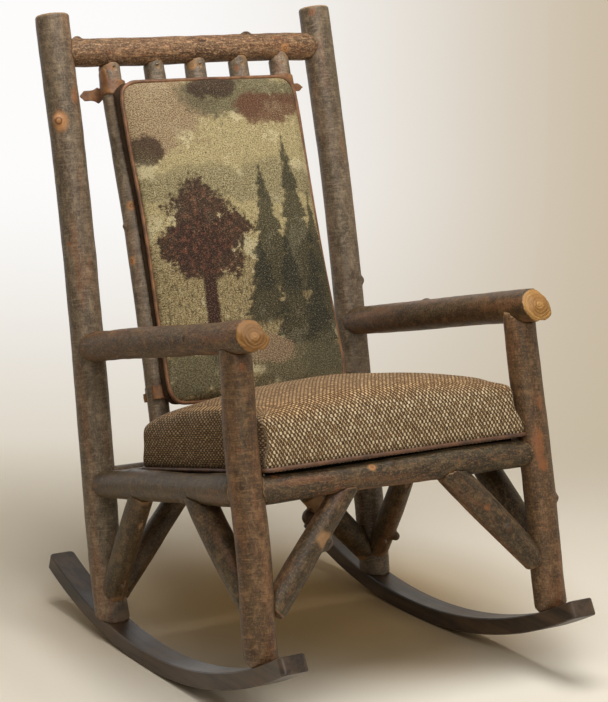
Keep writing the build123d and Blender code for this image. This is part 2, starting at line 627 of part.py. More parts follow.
def make_cushion():
    """Filling, picture cloth, backing and welt of the back cushion, and the ties that hold it to the spindles."""
    plane, up = cushion_plane()
    place = plane.location
    inside = CLOTH + CLOTH_PLAY
    backing = extrude(RectangleRounded(2 * CUSHION_W, CUSHION_HIGH - CUSHION_LOW, CUSHION_CORNER), BACKING_T)
    base = BACKING_T + CLOTH_PLAY
    filling = cushion_block(inside, base)
    cloth = biggest(cushion_block(0, base) - cushion_block(CLOTH, base - BACKING_T))
    offset = CUSHION_WELT_R + CLOTH_PLAY
    path = Pos(0, 0, CUSHION_WELT_Z) * RectangleRounded(
        2 * (CUSHION_W + offset), CUSHION_HIGH - CUSHION_LOW + 2 * offset, CUSHION_CORNER + offset
    ).wire()
    start = Plane(origin=path @ 0, z_dir=path % 0)
    parts["cushion_backing"] = place * backing
    parts["cushion_filling"] = place * filling
    parts["cushion_cloth"] = place * cloth
    parts["cushion_welt"] = place * sweep(start * Circle(CUSHION_WELT_R), path=path)
    half = (CUSHION_HIGH - CUSHION_LOW) / 2
    for level, offset_up in (("top", half - TIE_TOP_INSET), ("bottom", -half + TIE_LOW_INSET)):
        for side, name, number in ((-1, "left", 1), (1, "right", len(SPINDLE_X))):
            middle = Vector(side * SPINDLE_X[-1], 0, 0) + plane.origin + up * offset_up
            middle = middle - plane.z_dir * (SPINDLE_R + TIE_SPARE + TIE_T + TIE_GAP)
            ring_plane = Plane(origin=middle, x_dir=(1, 0, 0), z_dir=up)
            body = ring_plane * Cylinder(SPINDLE_R + TIE_SPARE + TIE_T, TIE_H)
            length = TIE_TAIL + SPINDLE_R
            neck = length - TIE_TAIL_POINT
            tail = Polygon((0, -TIE_TAIL_H / 2), (neck, -TIE_TAIL_H / 2), (length, 0),
                           (neck, TIE_TAIL_H / 2), (0, TIE_TAIL_H / 2), align=None)
            tail_plane = Plane(
                origin=middle - plane.z_dir * (SPINDLE_R - CROOK) - up * TIE_TAIL_DROP, x_dir=(side, 0, 0), z_dir=plane.z_dir
            )
            body = body + extrude(tail_plane * tail, -TIE_T)
            spindle = sticks[f"spindle_{number}"]
            body = biggest(body - stick(spindle, FIT / 2))
            parts[f"tie_{level}_{name}"] = body


def drive_fasteners():
    """Lags up through the rockers, screws in the braces, cleats and board, nails in the spindles."""
    for x_side, side in SIDES:
        for post in (f"front_post_{side}", f"rear_post_{side}"):
            y = sticks[post][0][0].Y
            floor = ROCKER_Z - sqrt(ROCKER_R**2 - (y - ROCKER_Y) ** 2)
            head = (x_side * ROCKER_X, y, floor + LAG_SINK)
            fastener("rocker_lags", head, (x_side * ROCKER_X, y, ROCKER_Z), (f"rocker_{side}", post))
        for kind, (rail, post) in BRACE_HOSTS.items():
            top, foot = (Vector(*point) for point in brace_line(kind, x_side, side))
            along = (foot - top).normalized()
            level = Vector(along.X, along.Y, 0).normalized()
            brace = f"{kind}_brace_{side}"
            rail = rail.format(side)
            head = top + along * BRACE_SCREW_IN - Vector(0, 0, BRACE_SCREW_UP)
            fastener("brace_screws", head, head + Vector(0, 0, 3) - level, (brace, rail))
            head = foot - along * BRACE_SCREW_IN - level * BRACE_SCREW_SIDE
            fastener("brace_screws", head, head + level * 3 - Vector(0, 0, 1), (brace, post.format(side)))
        first, last = CLEAT_Y + BOARD_SCREW_INSET, CLEAT_Y + CLEAT_L - BOARD_SCREW_INSET - CLEAT_SCREW_STEP
        for y in (first, (first + last) / 2, last):
            head = (x_side * BOARD_SCREW_X, y, SEAT_Z - CLEAT_H + SCREW_SINK)
            aim = (x_side * BOARD_SCREW_X, y, SEAT_Z)
            fastener("board_screws", head, aim, (f"seat_cleat_{side}", "seat_board"))
            y += CLEAT_SCREW_STEP
            head = (x_side * (CLEAT_X - CLEAT_W / 2 + SCREW_SINK), y, SIDE_Z)
            fastener("cleat_screws", head, (x_side * POST_X, y, SIDE_Z), (f"seat_cleat_{side}", f"side_rail_{side}"))
    for number, x in enumerate(SPINDLE_X, start=1):
        name = f"spindle_{number}"
        head = (x, SPINDLE_TOP_Y - SPINDLE_R - SCREW_SINK / 2, CREST_Z - NAIL_DROP)
        fastener("spindle_nails", head, (x, BACK_Y, CREST_Z), (name, "crest_rail"))
        head = (x, SPINDLE_RAIL_Y - SPINDLE_R + SCREW_SINK / 2, SPINDLE_RAIL_Z + NAIL_DROP)
        fastener("spindle_nails", head, (x, SPINDLE_RAIL_Y, SPINDLE_RAIL_Z), (name, "spindle_rail"))


make_posts()
make_rails()
make_spindles()
make_braces()
join_frame()
finish_posts()
whittle_arms()
make_rockers()
make_seat()
make_cushion()
drive_fasteners()

lean = Rot(-LEAN, 0, 0) * Pos(0, -ROCKER_Y, -ROCKER_Z)
boxes = [(lean * shape).bounding_box() for shape in parts.values()]
middle_x = (min(box.min.X for box in boxes) + max(box.max.X for box in boxes)) / 2
middle_y = (min(box.min.Y for box in boxes) + max(box.max.Y for box in boxes)) / 2
stand = Pos(-middle_x, -middle_y, ROCKER_R) * lean
os.makedirs("parts", exist_ok=True)
for name, shape in parts.items():
    export_step(stand * shape, f"parts/{name}.step")
for name, bodies in fasteners.items():
    export_step(Compound(children=[stand * body for body in bodies]), f"parts/{name}.step")
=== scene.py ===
"""Dresses the hickory rocking chair: bark on its logs, stained rockers, a woven seat and a tapestry cushion.

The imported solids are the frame. Every log is a remeshed copy of its solid, with bark relief and a coordinate
that follows the log. The seat and the back cushion are puffed by a cloth simulation, and welts are laid round
them. The leather ties are softened copies of their solids.
"""

import logging
import math
from dataclasses import dataclass, field
from enum import Enum
from typing import Sequence

import bmesh
import bpy
import numpy as np
from mathutils import Matrix, Vector, noise
from mathutils.bvhtree import BVHTree


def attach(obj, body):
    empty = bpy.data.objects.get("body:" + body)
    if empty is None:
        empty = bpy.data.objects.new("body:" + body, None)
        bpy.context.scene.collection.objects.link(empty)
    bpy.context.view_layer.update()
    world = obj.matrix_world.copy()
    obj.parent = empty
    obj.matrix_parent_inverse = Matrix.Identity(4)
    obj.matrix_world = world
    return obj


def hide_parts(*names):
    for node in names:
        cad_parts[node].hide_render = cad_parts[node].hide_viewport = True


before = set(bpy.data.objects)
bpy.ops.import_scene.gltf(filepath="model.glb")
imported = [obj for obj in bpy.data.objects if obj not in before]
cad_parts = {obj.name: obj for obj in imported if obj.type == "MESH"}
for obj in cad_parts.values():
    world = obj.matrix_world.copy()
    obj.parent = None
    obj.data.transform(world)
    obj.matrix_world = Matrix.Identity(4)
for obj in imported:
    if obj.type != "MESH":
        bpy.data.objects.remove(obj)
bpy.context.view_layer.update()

MERGE = 2e-5
log = logging.getLogger("rocking_chair")

Colour = tuple[float, float, float]
Piece = bpy.types.Object
Material = bpy.types.Material


def tone(red: int, green: int, blue: int) -> Colour:
    """Returns the linear colour of a display colour from 0 to 255."""
    shares = (red / 255, green / 255, blue / 255)
    return tuple(c / 12.92 if c <= 0.04045 else ((c + 0.055) / 1.055) ** 2.4 for c in shares)


@dataclass(frozen=True)
class SquareFrame:
    """The chair's own square frame, in metres: x across, s back along the seat rails, h up along the posts."""

    lean: float = math.radians(11.6)
    origin: tuple[float, float, float] = (0.00054, -0.36334, 0.1246)

    def direction(self, x: float, s: float, h: float) -> Vector:
        """Returns the world direction of a direction in the square frame."""
        c, n = math.cos(self.lean), math.sin(self.lean)
        return Vector((x, s * c + h * n, h * c - s * n))

    def at(self, x: float, s: float, h: float) -> Vector:
        """Returns the world place of a point in the square frame."""
        return Vector(self.origin) + self.direction(x, s, h)

    def inside(self, points: np.ndarray) -> np.ndarray:
        """Returns points, one a row, as (x, s, h) of the square frame."""
        c, n = math.cos(self.lean), math.sin(self.lean)
        p = points - np.array(self.origin)
        return np.stack([p[:, 0], p[:, 1] * c - p[:, 2] * n, p[:, 1] * n + p[:, 2] * c], axis=1)

    def outside(self, points: np.ndarray) -> np.ndarray:
        """Returns points of the square frame, one a row, as world places."""
        c, n = math.cos(self.lean), math.sin(self.lean)
        x, s, h = points.T
        return np.stack([x, s * c + h * n, h * c - s * n], axis=1) + np.array(self.origin)


SQUARE = SquareFrame()


class Surface(Enum):
    """The kinds of bark on the chair's logs."""

    SMOOTH = "smooth"
    FLECKED = "flecked"
    ROUGH = "rough"


# --------------------------------------------------------------------------------------------------
# Shader helpers


class Graph:
    """Adds nodes to one shader tree and links them."""

    def __init__(self, tree: bpy.types.NodeTree) -> None:
        """Starts on a tree, which may hold nodes already."""
        self.tree = tree

    def add(self, kind: str, inputs: dict | None = None, **settings: object) -> bpy.types.Node:
        """Adds a node.

        Args:
            kind: The node's type name without its ShaderNode start.
            inputs: Values or output sockets by input name or number.
            settings: Properties of the node.

        Returns:
            The new node.
        """
        node = self.tree.nodes.new("ShaderNode" + kind)
        node.location = (60 * len(self.tree.nodes), -40 * (len(self.tree.nodes) % 12))
        for key, value in settings.items():
            setattr(node, key, value)
        for key, value in (inputs or {}).items():
            self.feed(node.inputs[key], value)
        return node

    def feed(self, socket: bpy.types.NodeSocket, value: object) -> None:
        """Links an output socket to an input, or sets the input's value."""
        if isinstance(value, bpy.types.NodeSocket):
            self.tree.links.new(value, socket)
        elif socket.type == "RGBA" and len(value) == 3:
            socket.default_value = (*value, 1.0)
        else:
            socket.default_value = value

    def math(self, operation: str, a: object, b: object = 0.0, clamp: bool = False):
        """Returns the result socket of a Math node."""
        return self.add("Math", {0: a, 1: b}, operation=operation, use_clamp=clamp).outputs[0]

    def plus(self, a: object, b: object, clamp: bool = False):
        """Returns the sum of two values."""
        return self.math("ADD", a, b, clamp=clamp)

    def minus(self, a: object, b: object):
        """Returns the first value less the second."""
        return self.math("SUBTRACT", a, b)

    def times(self, a: object, b: object):
        """Returns the product of two values."""
        return self.math("MULTIPLY", a, b)

    def over(self, a: object, b: object):
        """Returns the first value divided by the second."""
        return self.math("DIVIDE", a, b)

    def swing(self, noise: object, strength: float):
        """Returns how far a noise lies from its middle, times a strength."""
        return self.times(self.minus(noise, 0.5), strength)

    def distance(self, a: object, b: object):
        """Returns the length of two values at right angles."""
        return self.math("SQRT", self.plus(self.times(a, a), self.times(b, b)))

    def mix(self, factor: object, a: object, b: object):
        """Returns the colour socket of two colours mixed by a factor."""
        node = self.add("Mix", data_type="RGBA", blend_type="MIX")
        for index, value in ((0, factor), (6, a), (7, b)):
            self.feed(node.inputs[index], value)
        return node.outputs[2]

    def step(self, value: object, low: float, high: float, out_low: float = 0.0, out_high: float = 1.0):
        """Returns a value turned smoothly from one range to another."""
        inputs = {0: value, 1: low, 2: high, 3: out_low, 4: out_high}
        return self.add("MapRange", inputs, interpolation_type="SMOOTHSTEP").outputs[0]

    def noise(self, vector: object, scale: float, detail: float = 3.0, rough: float = 0.55):
        """Returns the factor of a noise texture."""
        inputs = {"Vector": vector, "Scale": scale, "Detail": detail, "Roughness": rough}
        return self.add("TexNoise", inputs).outputs["Fac"]

    def stretch(self, vector: object, by: Sequence[float]):
        """Returns a vector scaled axis by axis."""
        return self.add("VectorMath", {0: vector, 1: by}, operation="MULTIPLY").outputs[0]

    def attribute(self, name: str, output: str = "Fac"):
        """Returns a socket of a mesh attribute."""
        return self.add("Attribute", attribute_name=name).outputs[output]

    def group(self, name: str, inputs: dict):
        """Returns the output sockets of one of the shared groups, fed with inputs."""
        return self.add("Group", inputs, node_tree=Groups.get(name)).outputs


class Groups:
    """Shader node groups that the finishes share, each built at its first use."""

    made: dict[str, bpy.types.NodeTree] = {}

    @classmethod
    def get(cls, name: str) -> bpy.types.NodeTree:
        """Returns a group by its name, building it the first time."""
        if name not in cls.made:
            cls.made[name] = getattr(cls, "make_" + name)()
        return cls.made[name]

    @staticmethod
    def start(name: str, inputs: dict[str, str], outputs: dict[str, str]):
        """Starts a group.

        Args:
            name: The group's name.
            inputs: Socket kind by input name: Float, Vector or Color.
            outputs: Socket kind by output name.

        Returns:
            The graph, the input node's sockets and the output node's sockets.
        """
        tree = bpy.data.node_groups.new(name, "ShaderNodeTree")
        for way, sockets in (("INPUT", inputs), ("OUTPUT", outputs)):
            for label, kind in sockets.items():
                tree.interface.new_socket(label, in_out=way, socket_type="NodeSocket" + kind)
        source = tree.nodes.new("NodeGroupInput")
        target = tree.nodes.new("NodeGroupOutput")
        return Graph(tree), source.outputs, target.inputs

    @classmethod
    def make_bark(cls) -> bpy.types.NodeTree:
        """Bark along the log: mottling, rusty and mossy zones, rings of fine streaks, flecks and stains."""
        g, i, o = cls.start(
            "bark",
            {"Coord": "Vector"} | dict.fromkeys(("Dark", "Mid", "Light", "Rust"), "Color")
            | dict.fromkeys(("Seed", "Rust Amount", "Streaks", "Flecks", "Stain"), "Float"),
            {"Color": "Color", "Roughness": "Float", "Height": "Float"},
        )
        shift = g.add("CombineXYZ", {0: i["Seed"], 1: i["Seed"], 2: i["Seed"]}).outputs[0]
        place = g.add("VectorMath", {0: i["Coord"], 1: shift}, operation="ADD").outputs[0]
        mottle, blotch, grain, ring, ring_wide, fibre, scuff, zone, patch = (
            g.noise(g.stretch(place, scale), 1.0, detail, rough)
            for scale, detail, rough in (
                ((26, 26, 11), 5.0, 0.62), ((75, 75, 48), 4.0, 0.62), ((330, 330, 250), 3.0, 0.6),
                ((58, 58, 560), 3.0, 0.6), ((36, 36, 230), 3.0, 0.6), ((430, 430, 52), 3.0, 0.6),
                ((170, 170, 80), 4.0, 0.7), ((30, 30, 4.5), 3.0, 0.6), ((19, 19, 8), 6.0, 0.72),
            )
        )
        rugged = g.plus(g.times(i["Flecks"], 0.55), 0.24)
        colour = g.mix(g.step(mottle, 0.34, 0.62), g.mix(0.45, i["Dark"], i["Mid"]), i["Mid"])
        moss = g.mix(0.6, i["Dark"], tone(98, 92, 66))
        for mask, low, high, strength, shade in (
            (zone, 0.52, 0.66, 0.38, i["Rust"]), (zone, 0.47, 0.35, 0.42, moss),
            (blotch, 0.50, 0.66, 0.42, i["Light"]), (blotch, 0.47, 0.32, 0.5, i["Dark"]),
            (grain, 0.52, 0.66, rugged, i["Light"]), (grain, 0.46, 0.32, rugged, i["Dark"]),
        ):
            colour = g.mix(g.times(g.step(mask, low, high), strength), colour, shade)
        for mask, low, high, strength, shade in (
            (ring, 0.50, 0.66, 0.55, i["Dark"]), (ring_wide, 0.53, 0.68, 0.4, i["Light"]),
        ):
            band = g.times(g.step(mask, low, high), i["Streaks"])
            colour = g.mix(g.times(band, strength), colour, shade)
        fleck = g.times(g.step(scuff, 0.56, 0.64), i["Flecks"])
        colour = g.mix(fleck, colour, g.mix(g.step(fibre, 0.42, 0.56), i["Rust"], i["Light"]))
        crack = g.times(g.step(fibre, 0.45, 0.32), i["Flecks"])
        colour = g.mix(g.times(crack, 0.9), colour, i["Dark"])
        edge = g.minus(0.80, g.times(i["Rust Amount"], 0.30))
        rust = g.plus(g.minus(patch, edge), g.swing(scuff, 0.35))
        stain = g.step(g.plus(i["Stain"], g.minus(scuff, 0.5)), 0.3, 0.7)
        rust = g.math("MAXIMUM", g.step(rust, 0.0, 0.07), stain)
        rust = g.times(rust, g.step(fibre, 0.32, 0.56, 0.35, 1.0))
        colour = g.mix(g.times(rust, 0.75), colour, i["Rust"])
        g.feed(o["Color"], colour)
        rough = g.plus(g.times(blotch, 0.3), g.times(i["Flecks"], 0.2))
        g.feed(o["Roughness"], g.plus(rough, 0.25))
        height = g.plus(g.times(ring, g.times(i["Streaks"], 0.4)), g.times(grain, 0.35))
        height = g.plus(height, g.times(g.minus(fibre, crack), g.times(i["Flecks"], 0.7)))
        g.feed(o["Height"], g.minus(height, g.times(rust, 0.25)))
        return g.tree

    @classmethod
    def make_end_grain(cls) -> bpy.types.NodeTree:
        """Sawn or whittled wood across the log: growth rings, fine pores and a tan halo round the pith."""
        g, i, o = cls.start(
            "end_grain",
            {"Coord": "Vector", "Pale": "Color", "Deep": "Color"},
            {"Color": "Color", "Height": "Float"},
        )
        flat = g.stretch(i["Coord"], (1, 1, 0))
        warp = g.noise(i["Coord"], 70.0, 2.0)
        radius = g.add("VectorMath", {0: flat}, operation="LENGTH").outputs["Value"]
        phase = g.plus(g.times(radius, 1150.0), g.times(warp, 9.0))
        ring = g.plus(g.times(g.math("SINE", phase), 0.5), 0.5)
        pores = g.noise(i["Coord"], 900.0, 2.0)
        shade = g.plus(g.times(ring, 0.13), g.times(pores, 0.4))
        halo = g.times(g.step(radius, 0.0035, 0.009), g.step(radius, 0.027, 0.014))
        shade = g.plus(shade, g.times(halo, 0.55), clamp=True)
        g.feed(o["Color"], g.mix(shade, i["Pale"], i["Deep"]))
        g.feed(o["Height"], g.times(ring, 0.5))
        return g.tree

    @classmethod
    def make_basket(cls) -> bpy.types.NodeTree:
        """A basket cloth: slanted pale picks laid like bricks, a number for each, a ground mask that stays at
        0 beside each pick for painted shade, and the cloth's height.
        """
        g, i, o = cls.start(
            "basket",
            {"Coord": "Vector", "Pitch Across": "Float", "Pitch Along": "Float", "Slant": "Float"},
            {"Pick": "Float", "Strand": "Float", "Ground": "Float", "Height": "Float"},
        )
        sway = g.noise(i["Coord"], 60.0, 2.0)
        split = g.add("SeparateXYZ", {0: i["Coord"]}).outputs
        across = g.over(split[0], i["Pitch Across"])
        across = g.plus(across, g.times(sway, 0.5))
        along = g.over(split[1], i["Pitch Along"])
        row = g.math("FLOOR", along)
        across = g.plus(across, g.times(row, 0.5))
        u = g.minus(g.math("FRACT", across), 0.5)
        v = g.minus(g.math("FRACT", along), 0.5)
        cell = g.add("CombineXYZ", {0: g.math("FLOOR", across), 1: row}).outputs[0]
        strand = g.add("TexWhiteNoise", {"Vector": cell}, noise_dimensions="3D").outputs["Value"]
        lean = g.times(i["Slant"], g.plus(strand, 0.4))
        leant = g.math("ABSOLUTE", g.plus(u, g.times(lean, v)))
        leant = g.plus(leant, g.swing(strand, 0.14))
        body = g.step(leant, 0.26, 0.13)
        ends = g.step(g.math("ABSOLUTE", v), 0.52, 0.38)
        fuzz = g.noise(i["Coord"], 700.0, 2.0)
        pick = g.times(g.times(body, ends), g.step(fuzz, 0.25, 0.5, 0.6, 1.0))
        g.feed(o["Pick"], pick)
        g.feed(o["Strand"], strand)
        ground = g.noise(g.stretch(i["Coord"], (330, 420, 400)), 1.0, 3.0, 0.6)
        # Painted shade: the ground mask stays 0 beside each pick, so the ground keeps its darkest colour
        # there.
        g.feed(o["Ground"], g.times(g.step(ground, 0.40, 0.60), g.step(leant, 0.28, 0.46)))
        g.feed(o["Height"], g.plus(pick, g.times(ground, 0.2)))
        return g.tree

    @classmethod
    def make_hide(cls) -> bpy.types.NodeTree:
        """Leather: a pebbled grain, soft stains and rubbed places."""
        g, i, o = cls.start(
            "hide",
            {"Coord": "Vector", "Pale": "Color", "Deep": "Color"},
            {"Color": "Color", "Height": "Float"},
        )
        cells = g.add("TexVoronoi", {"Vector": i["Coord"], "Scale": 650.0}, feature="SMOOTH_F1")
        pebble = cells.outputs["Distance"]
        stain = g.noise(i["Coord"], 45.0, 4.0, 0.6)
        rub = g.noise(i["Coord"], 210.0, 3.0, 0.6)
        shade = g.plus(g.step(stain, 0.3, 0.7), g.swing(rub, 0.8), clamp=True)
        g.feed(o["Color"], g.mix(shade, i["Deep"], i["Pale"]))
        g.feed(o["Height"], g.plus(g.times(pebble, -0.6), g.times(rub, 0.5)))
        return g.tree


def material(name: str) -> tuple[Material, Graph, bpy.types.Node]:
    """Returns a new material, its graph and its Principled shader."""
    made = bpy.data.materials.new(name)
    made.use_nodes = True
    graph = Graph(made.node_tree)
    return made, graph, made.node_tree.nodes["Principled BSDF"]


def relief(graph: Graph, shader: bpy.types.Node, height: object, distance: float) -> None:
    """Bumps a shader's normal by a height."""
    bump = graph.add("Bump", {"Height": height, "Distance": distance, "Strength": 1.0})
    graph.feed(shader.inputs["Normal"], bump.outputs[0])


@dataclass(frozen=True)
class BarkFinish:
    """Bark and cut wood of one log."""

    name: str
    mid: Colour
    light: Colour
    dark: Colour = tone(44, 36, 28)
    rust: Colour = tone(146, 92, 56)
    rust_amount: float = 0.5
    streaks: float = 0.6
    flecks: float = 0.25
    cut_pale: Colour = tone(178, 146, 106)
    cut_deep: Colour = tone(122, 92, 60)
    seed: float = 0.0

    def make(self) -> Material:
        """Returns the material: bark, end grain where the log is cut, and an amber scar at each knot."""
        made, g, shader = material(self.name)
        coord = g.attribute("bark_co", "Vector")
        bark = g.group("bark", {
            "Coord": coord, "Seed": self.seed, "Dark": self.dark, "Mid": self.mid, "Light": self.light,
            "Rust": self.rust, "Rust Amount": self.rust_amount, "Streaks": self.streaks,
            "Flecks": self.flecks, "Stain": g.attribute("stain"),
        })
        wood = g.group("end_grain", {"Coord": coord, "Pale": self.cut_pale, "Deep": self.cut_deep})
        cut = g.attribute("cut")
        bump = g.attribute("bump")
        knot = g.attribute("knot")
        scar = g.noise(coord, 260.0, 3.0)
        loose = g.plus(knot, g.swing(scar, 0.5))
        colour = g.mix(g.times(g.step(bump, 0.1, 0.5), 0.6), bark["Color"], self.dark)
        colour = g.mix(g.times(g.step(bump, 0.6, 0.95), 0.2), colour, g.mix(scar, self.rust, self.light))
        amber = g.mix(scar, tone(214, 160, 104), tone(146, 92, 54))
        colour = g.mix(g.times(g.step(loose, 0.04, 0.6), 0.9), colour, amber)
        ring = g.math("ABSOLUTE", g.minus(knot, 0.76))
        colour = g.mix(g.times(g.step(ring, 0.10, 0.02), 0.8), colour, tone(92, 58, 34))
        colour = g.mix(cut, colour, wood["Color"])
        g.feed(shader.inputs["Base Color"], colour)
        g.feed(shader.inputs["Roughness"], g.math("MAXIMUM", bark["Roughness"], g.times(cut, 0.55)))
        shader.inputs["Specular IOR Level"].default_value = 0.34
        mixed = g.add("Mix", {0: cut, 2: bark["Height"], 3: wood["Height"]}, data_type="FLOAT")
        relief(g, shader, mixed.outputs[0], 0.0014)
        return made


@dataclass(frozen=True)
class StainFinish:
    """Stained or plain sawn wood, its grain along one axis."""

    name: str
    pale: Colour
    deep: Colour
    along: tuple[float, float, float] = (1.0, 0.06, 1.0)
    roughness: float = 0.4
    wear: Colour | None = None

    def make(self) -> Material:
        """Returns the material."""
        made, g, shader = material(self.name)
        place = g.add("TexCoord").outputs["Object"]
        run = g.stretch(place, self.along)
        figure = g.noise(run, 60.0, 5.0, 0.6)
        fine = g.noise(run, 420.0, 3.0, 0.6)
        cloud = g.noise(place, 9.0, 3.0)
        shade = g.plus(g.step(figure, 0.3, 0.72), g.swing(fine, 0.7), clamp=True)
        colour = g.mix(shade, self.deep, self.pale)
        if self.wear:
            colour = g.mix(g.times(g.step(cloud, 0.5, 0.75), 0.35), colour, self.wear)
        g.feed(shader.inputs["Base Color"], colour)
        rough = g.step(cloud, 0.2, 0.8, self.roughness - 0.08, self.roughness + 0.12)
        g.feed(shader.inputs["Roughness"], rough)
        relief(g, shader, g.plus(fine, g.times(figure, 0.5)), 0.0004)
        return made


@dataclass(frozen=True)
class TweedFinish:
    """Basket-woven seat cloth: pale picks on a brown ground, more golden on the crown as painted top light,
    with darker picks on the sides as painted shade.
    """

    name: str = "seat_basket_cloth"
    pick: Colour = tone(224, 204, 166)
    pick_lit_top: Colour = tone(224, 184, 132)
    ground: Colour = tone(62, 42, 22)
    ground_lit_top: Colour = tone(80, 54, 30)
    weft: Colour = tone(142, 108, 66)
    pitch: tuple[float, float] = (0.0074, 0.0058)
    slant: float = 0.20

    def make(self) -> Material:
        """Returns the material, on the cloth coordinate of the seat."""
        made, g, shader = material(self.name)
        coord = g.attribute("cloth_co", "Vector")
        side = g.attribute("side")
        slant = g.times(g.minus(1.0, side), self.slant)
        across, along = self.pitch
        sizes = {"Pitch Across": across, "Pitch Along": along, "Slant": slant}
        weave = g.group("basket", {"Coord": coord, **sizes})
        crown = g.attribute("crown")
        cloud = g.noise(coord, 14.0, 4.0, 0.6)
        # Painted top light: where the cloth faces up, the picks turn golden and the ground lighter, broken up
        # by a random cloud.
        lit_top = g.step(g.plus(crown, g.swing(cloud, 0.9)), 0.2, 1.15)
        pick = g.mix(lit_top, self.pick, self.pick_lit_top)
        pick = g.mix(g.times(weave["Strand"], 0.45), pick, self.weft)
        # Painted shade: on the seat's sides the picks are darkened towards the weft colour.
        pick = g.mix(g.times(side, 0.55), pick, self.weft)
        # The ground lightens at random towards the weft colour but stays dark beside the picks: painted shade.
        ground = g.mix(weave["Ground"], g.mix(lit_top, self.ground, self.ground_lit_top), self.weft)
        g.feed(shader.inputs["Base Color"], g.mix(weave["Pick"], ground, pick))
        shader.inputs["Roughness"].default_value = 0.88
        shader.inputs["Sheen Weight"].default_value = 0.08
        shader.inputs["Sheen Roughness"].default_value = 0.5
        shader.inputs["Specular IOR Level"].default_value = 0.25
        relief(g, shader, weave["Height"], 0.0016)
        return made


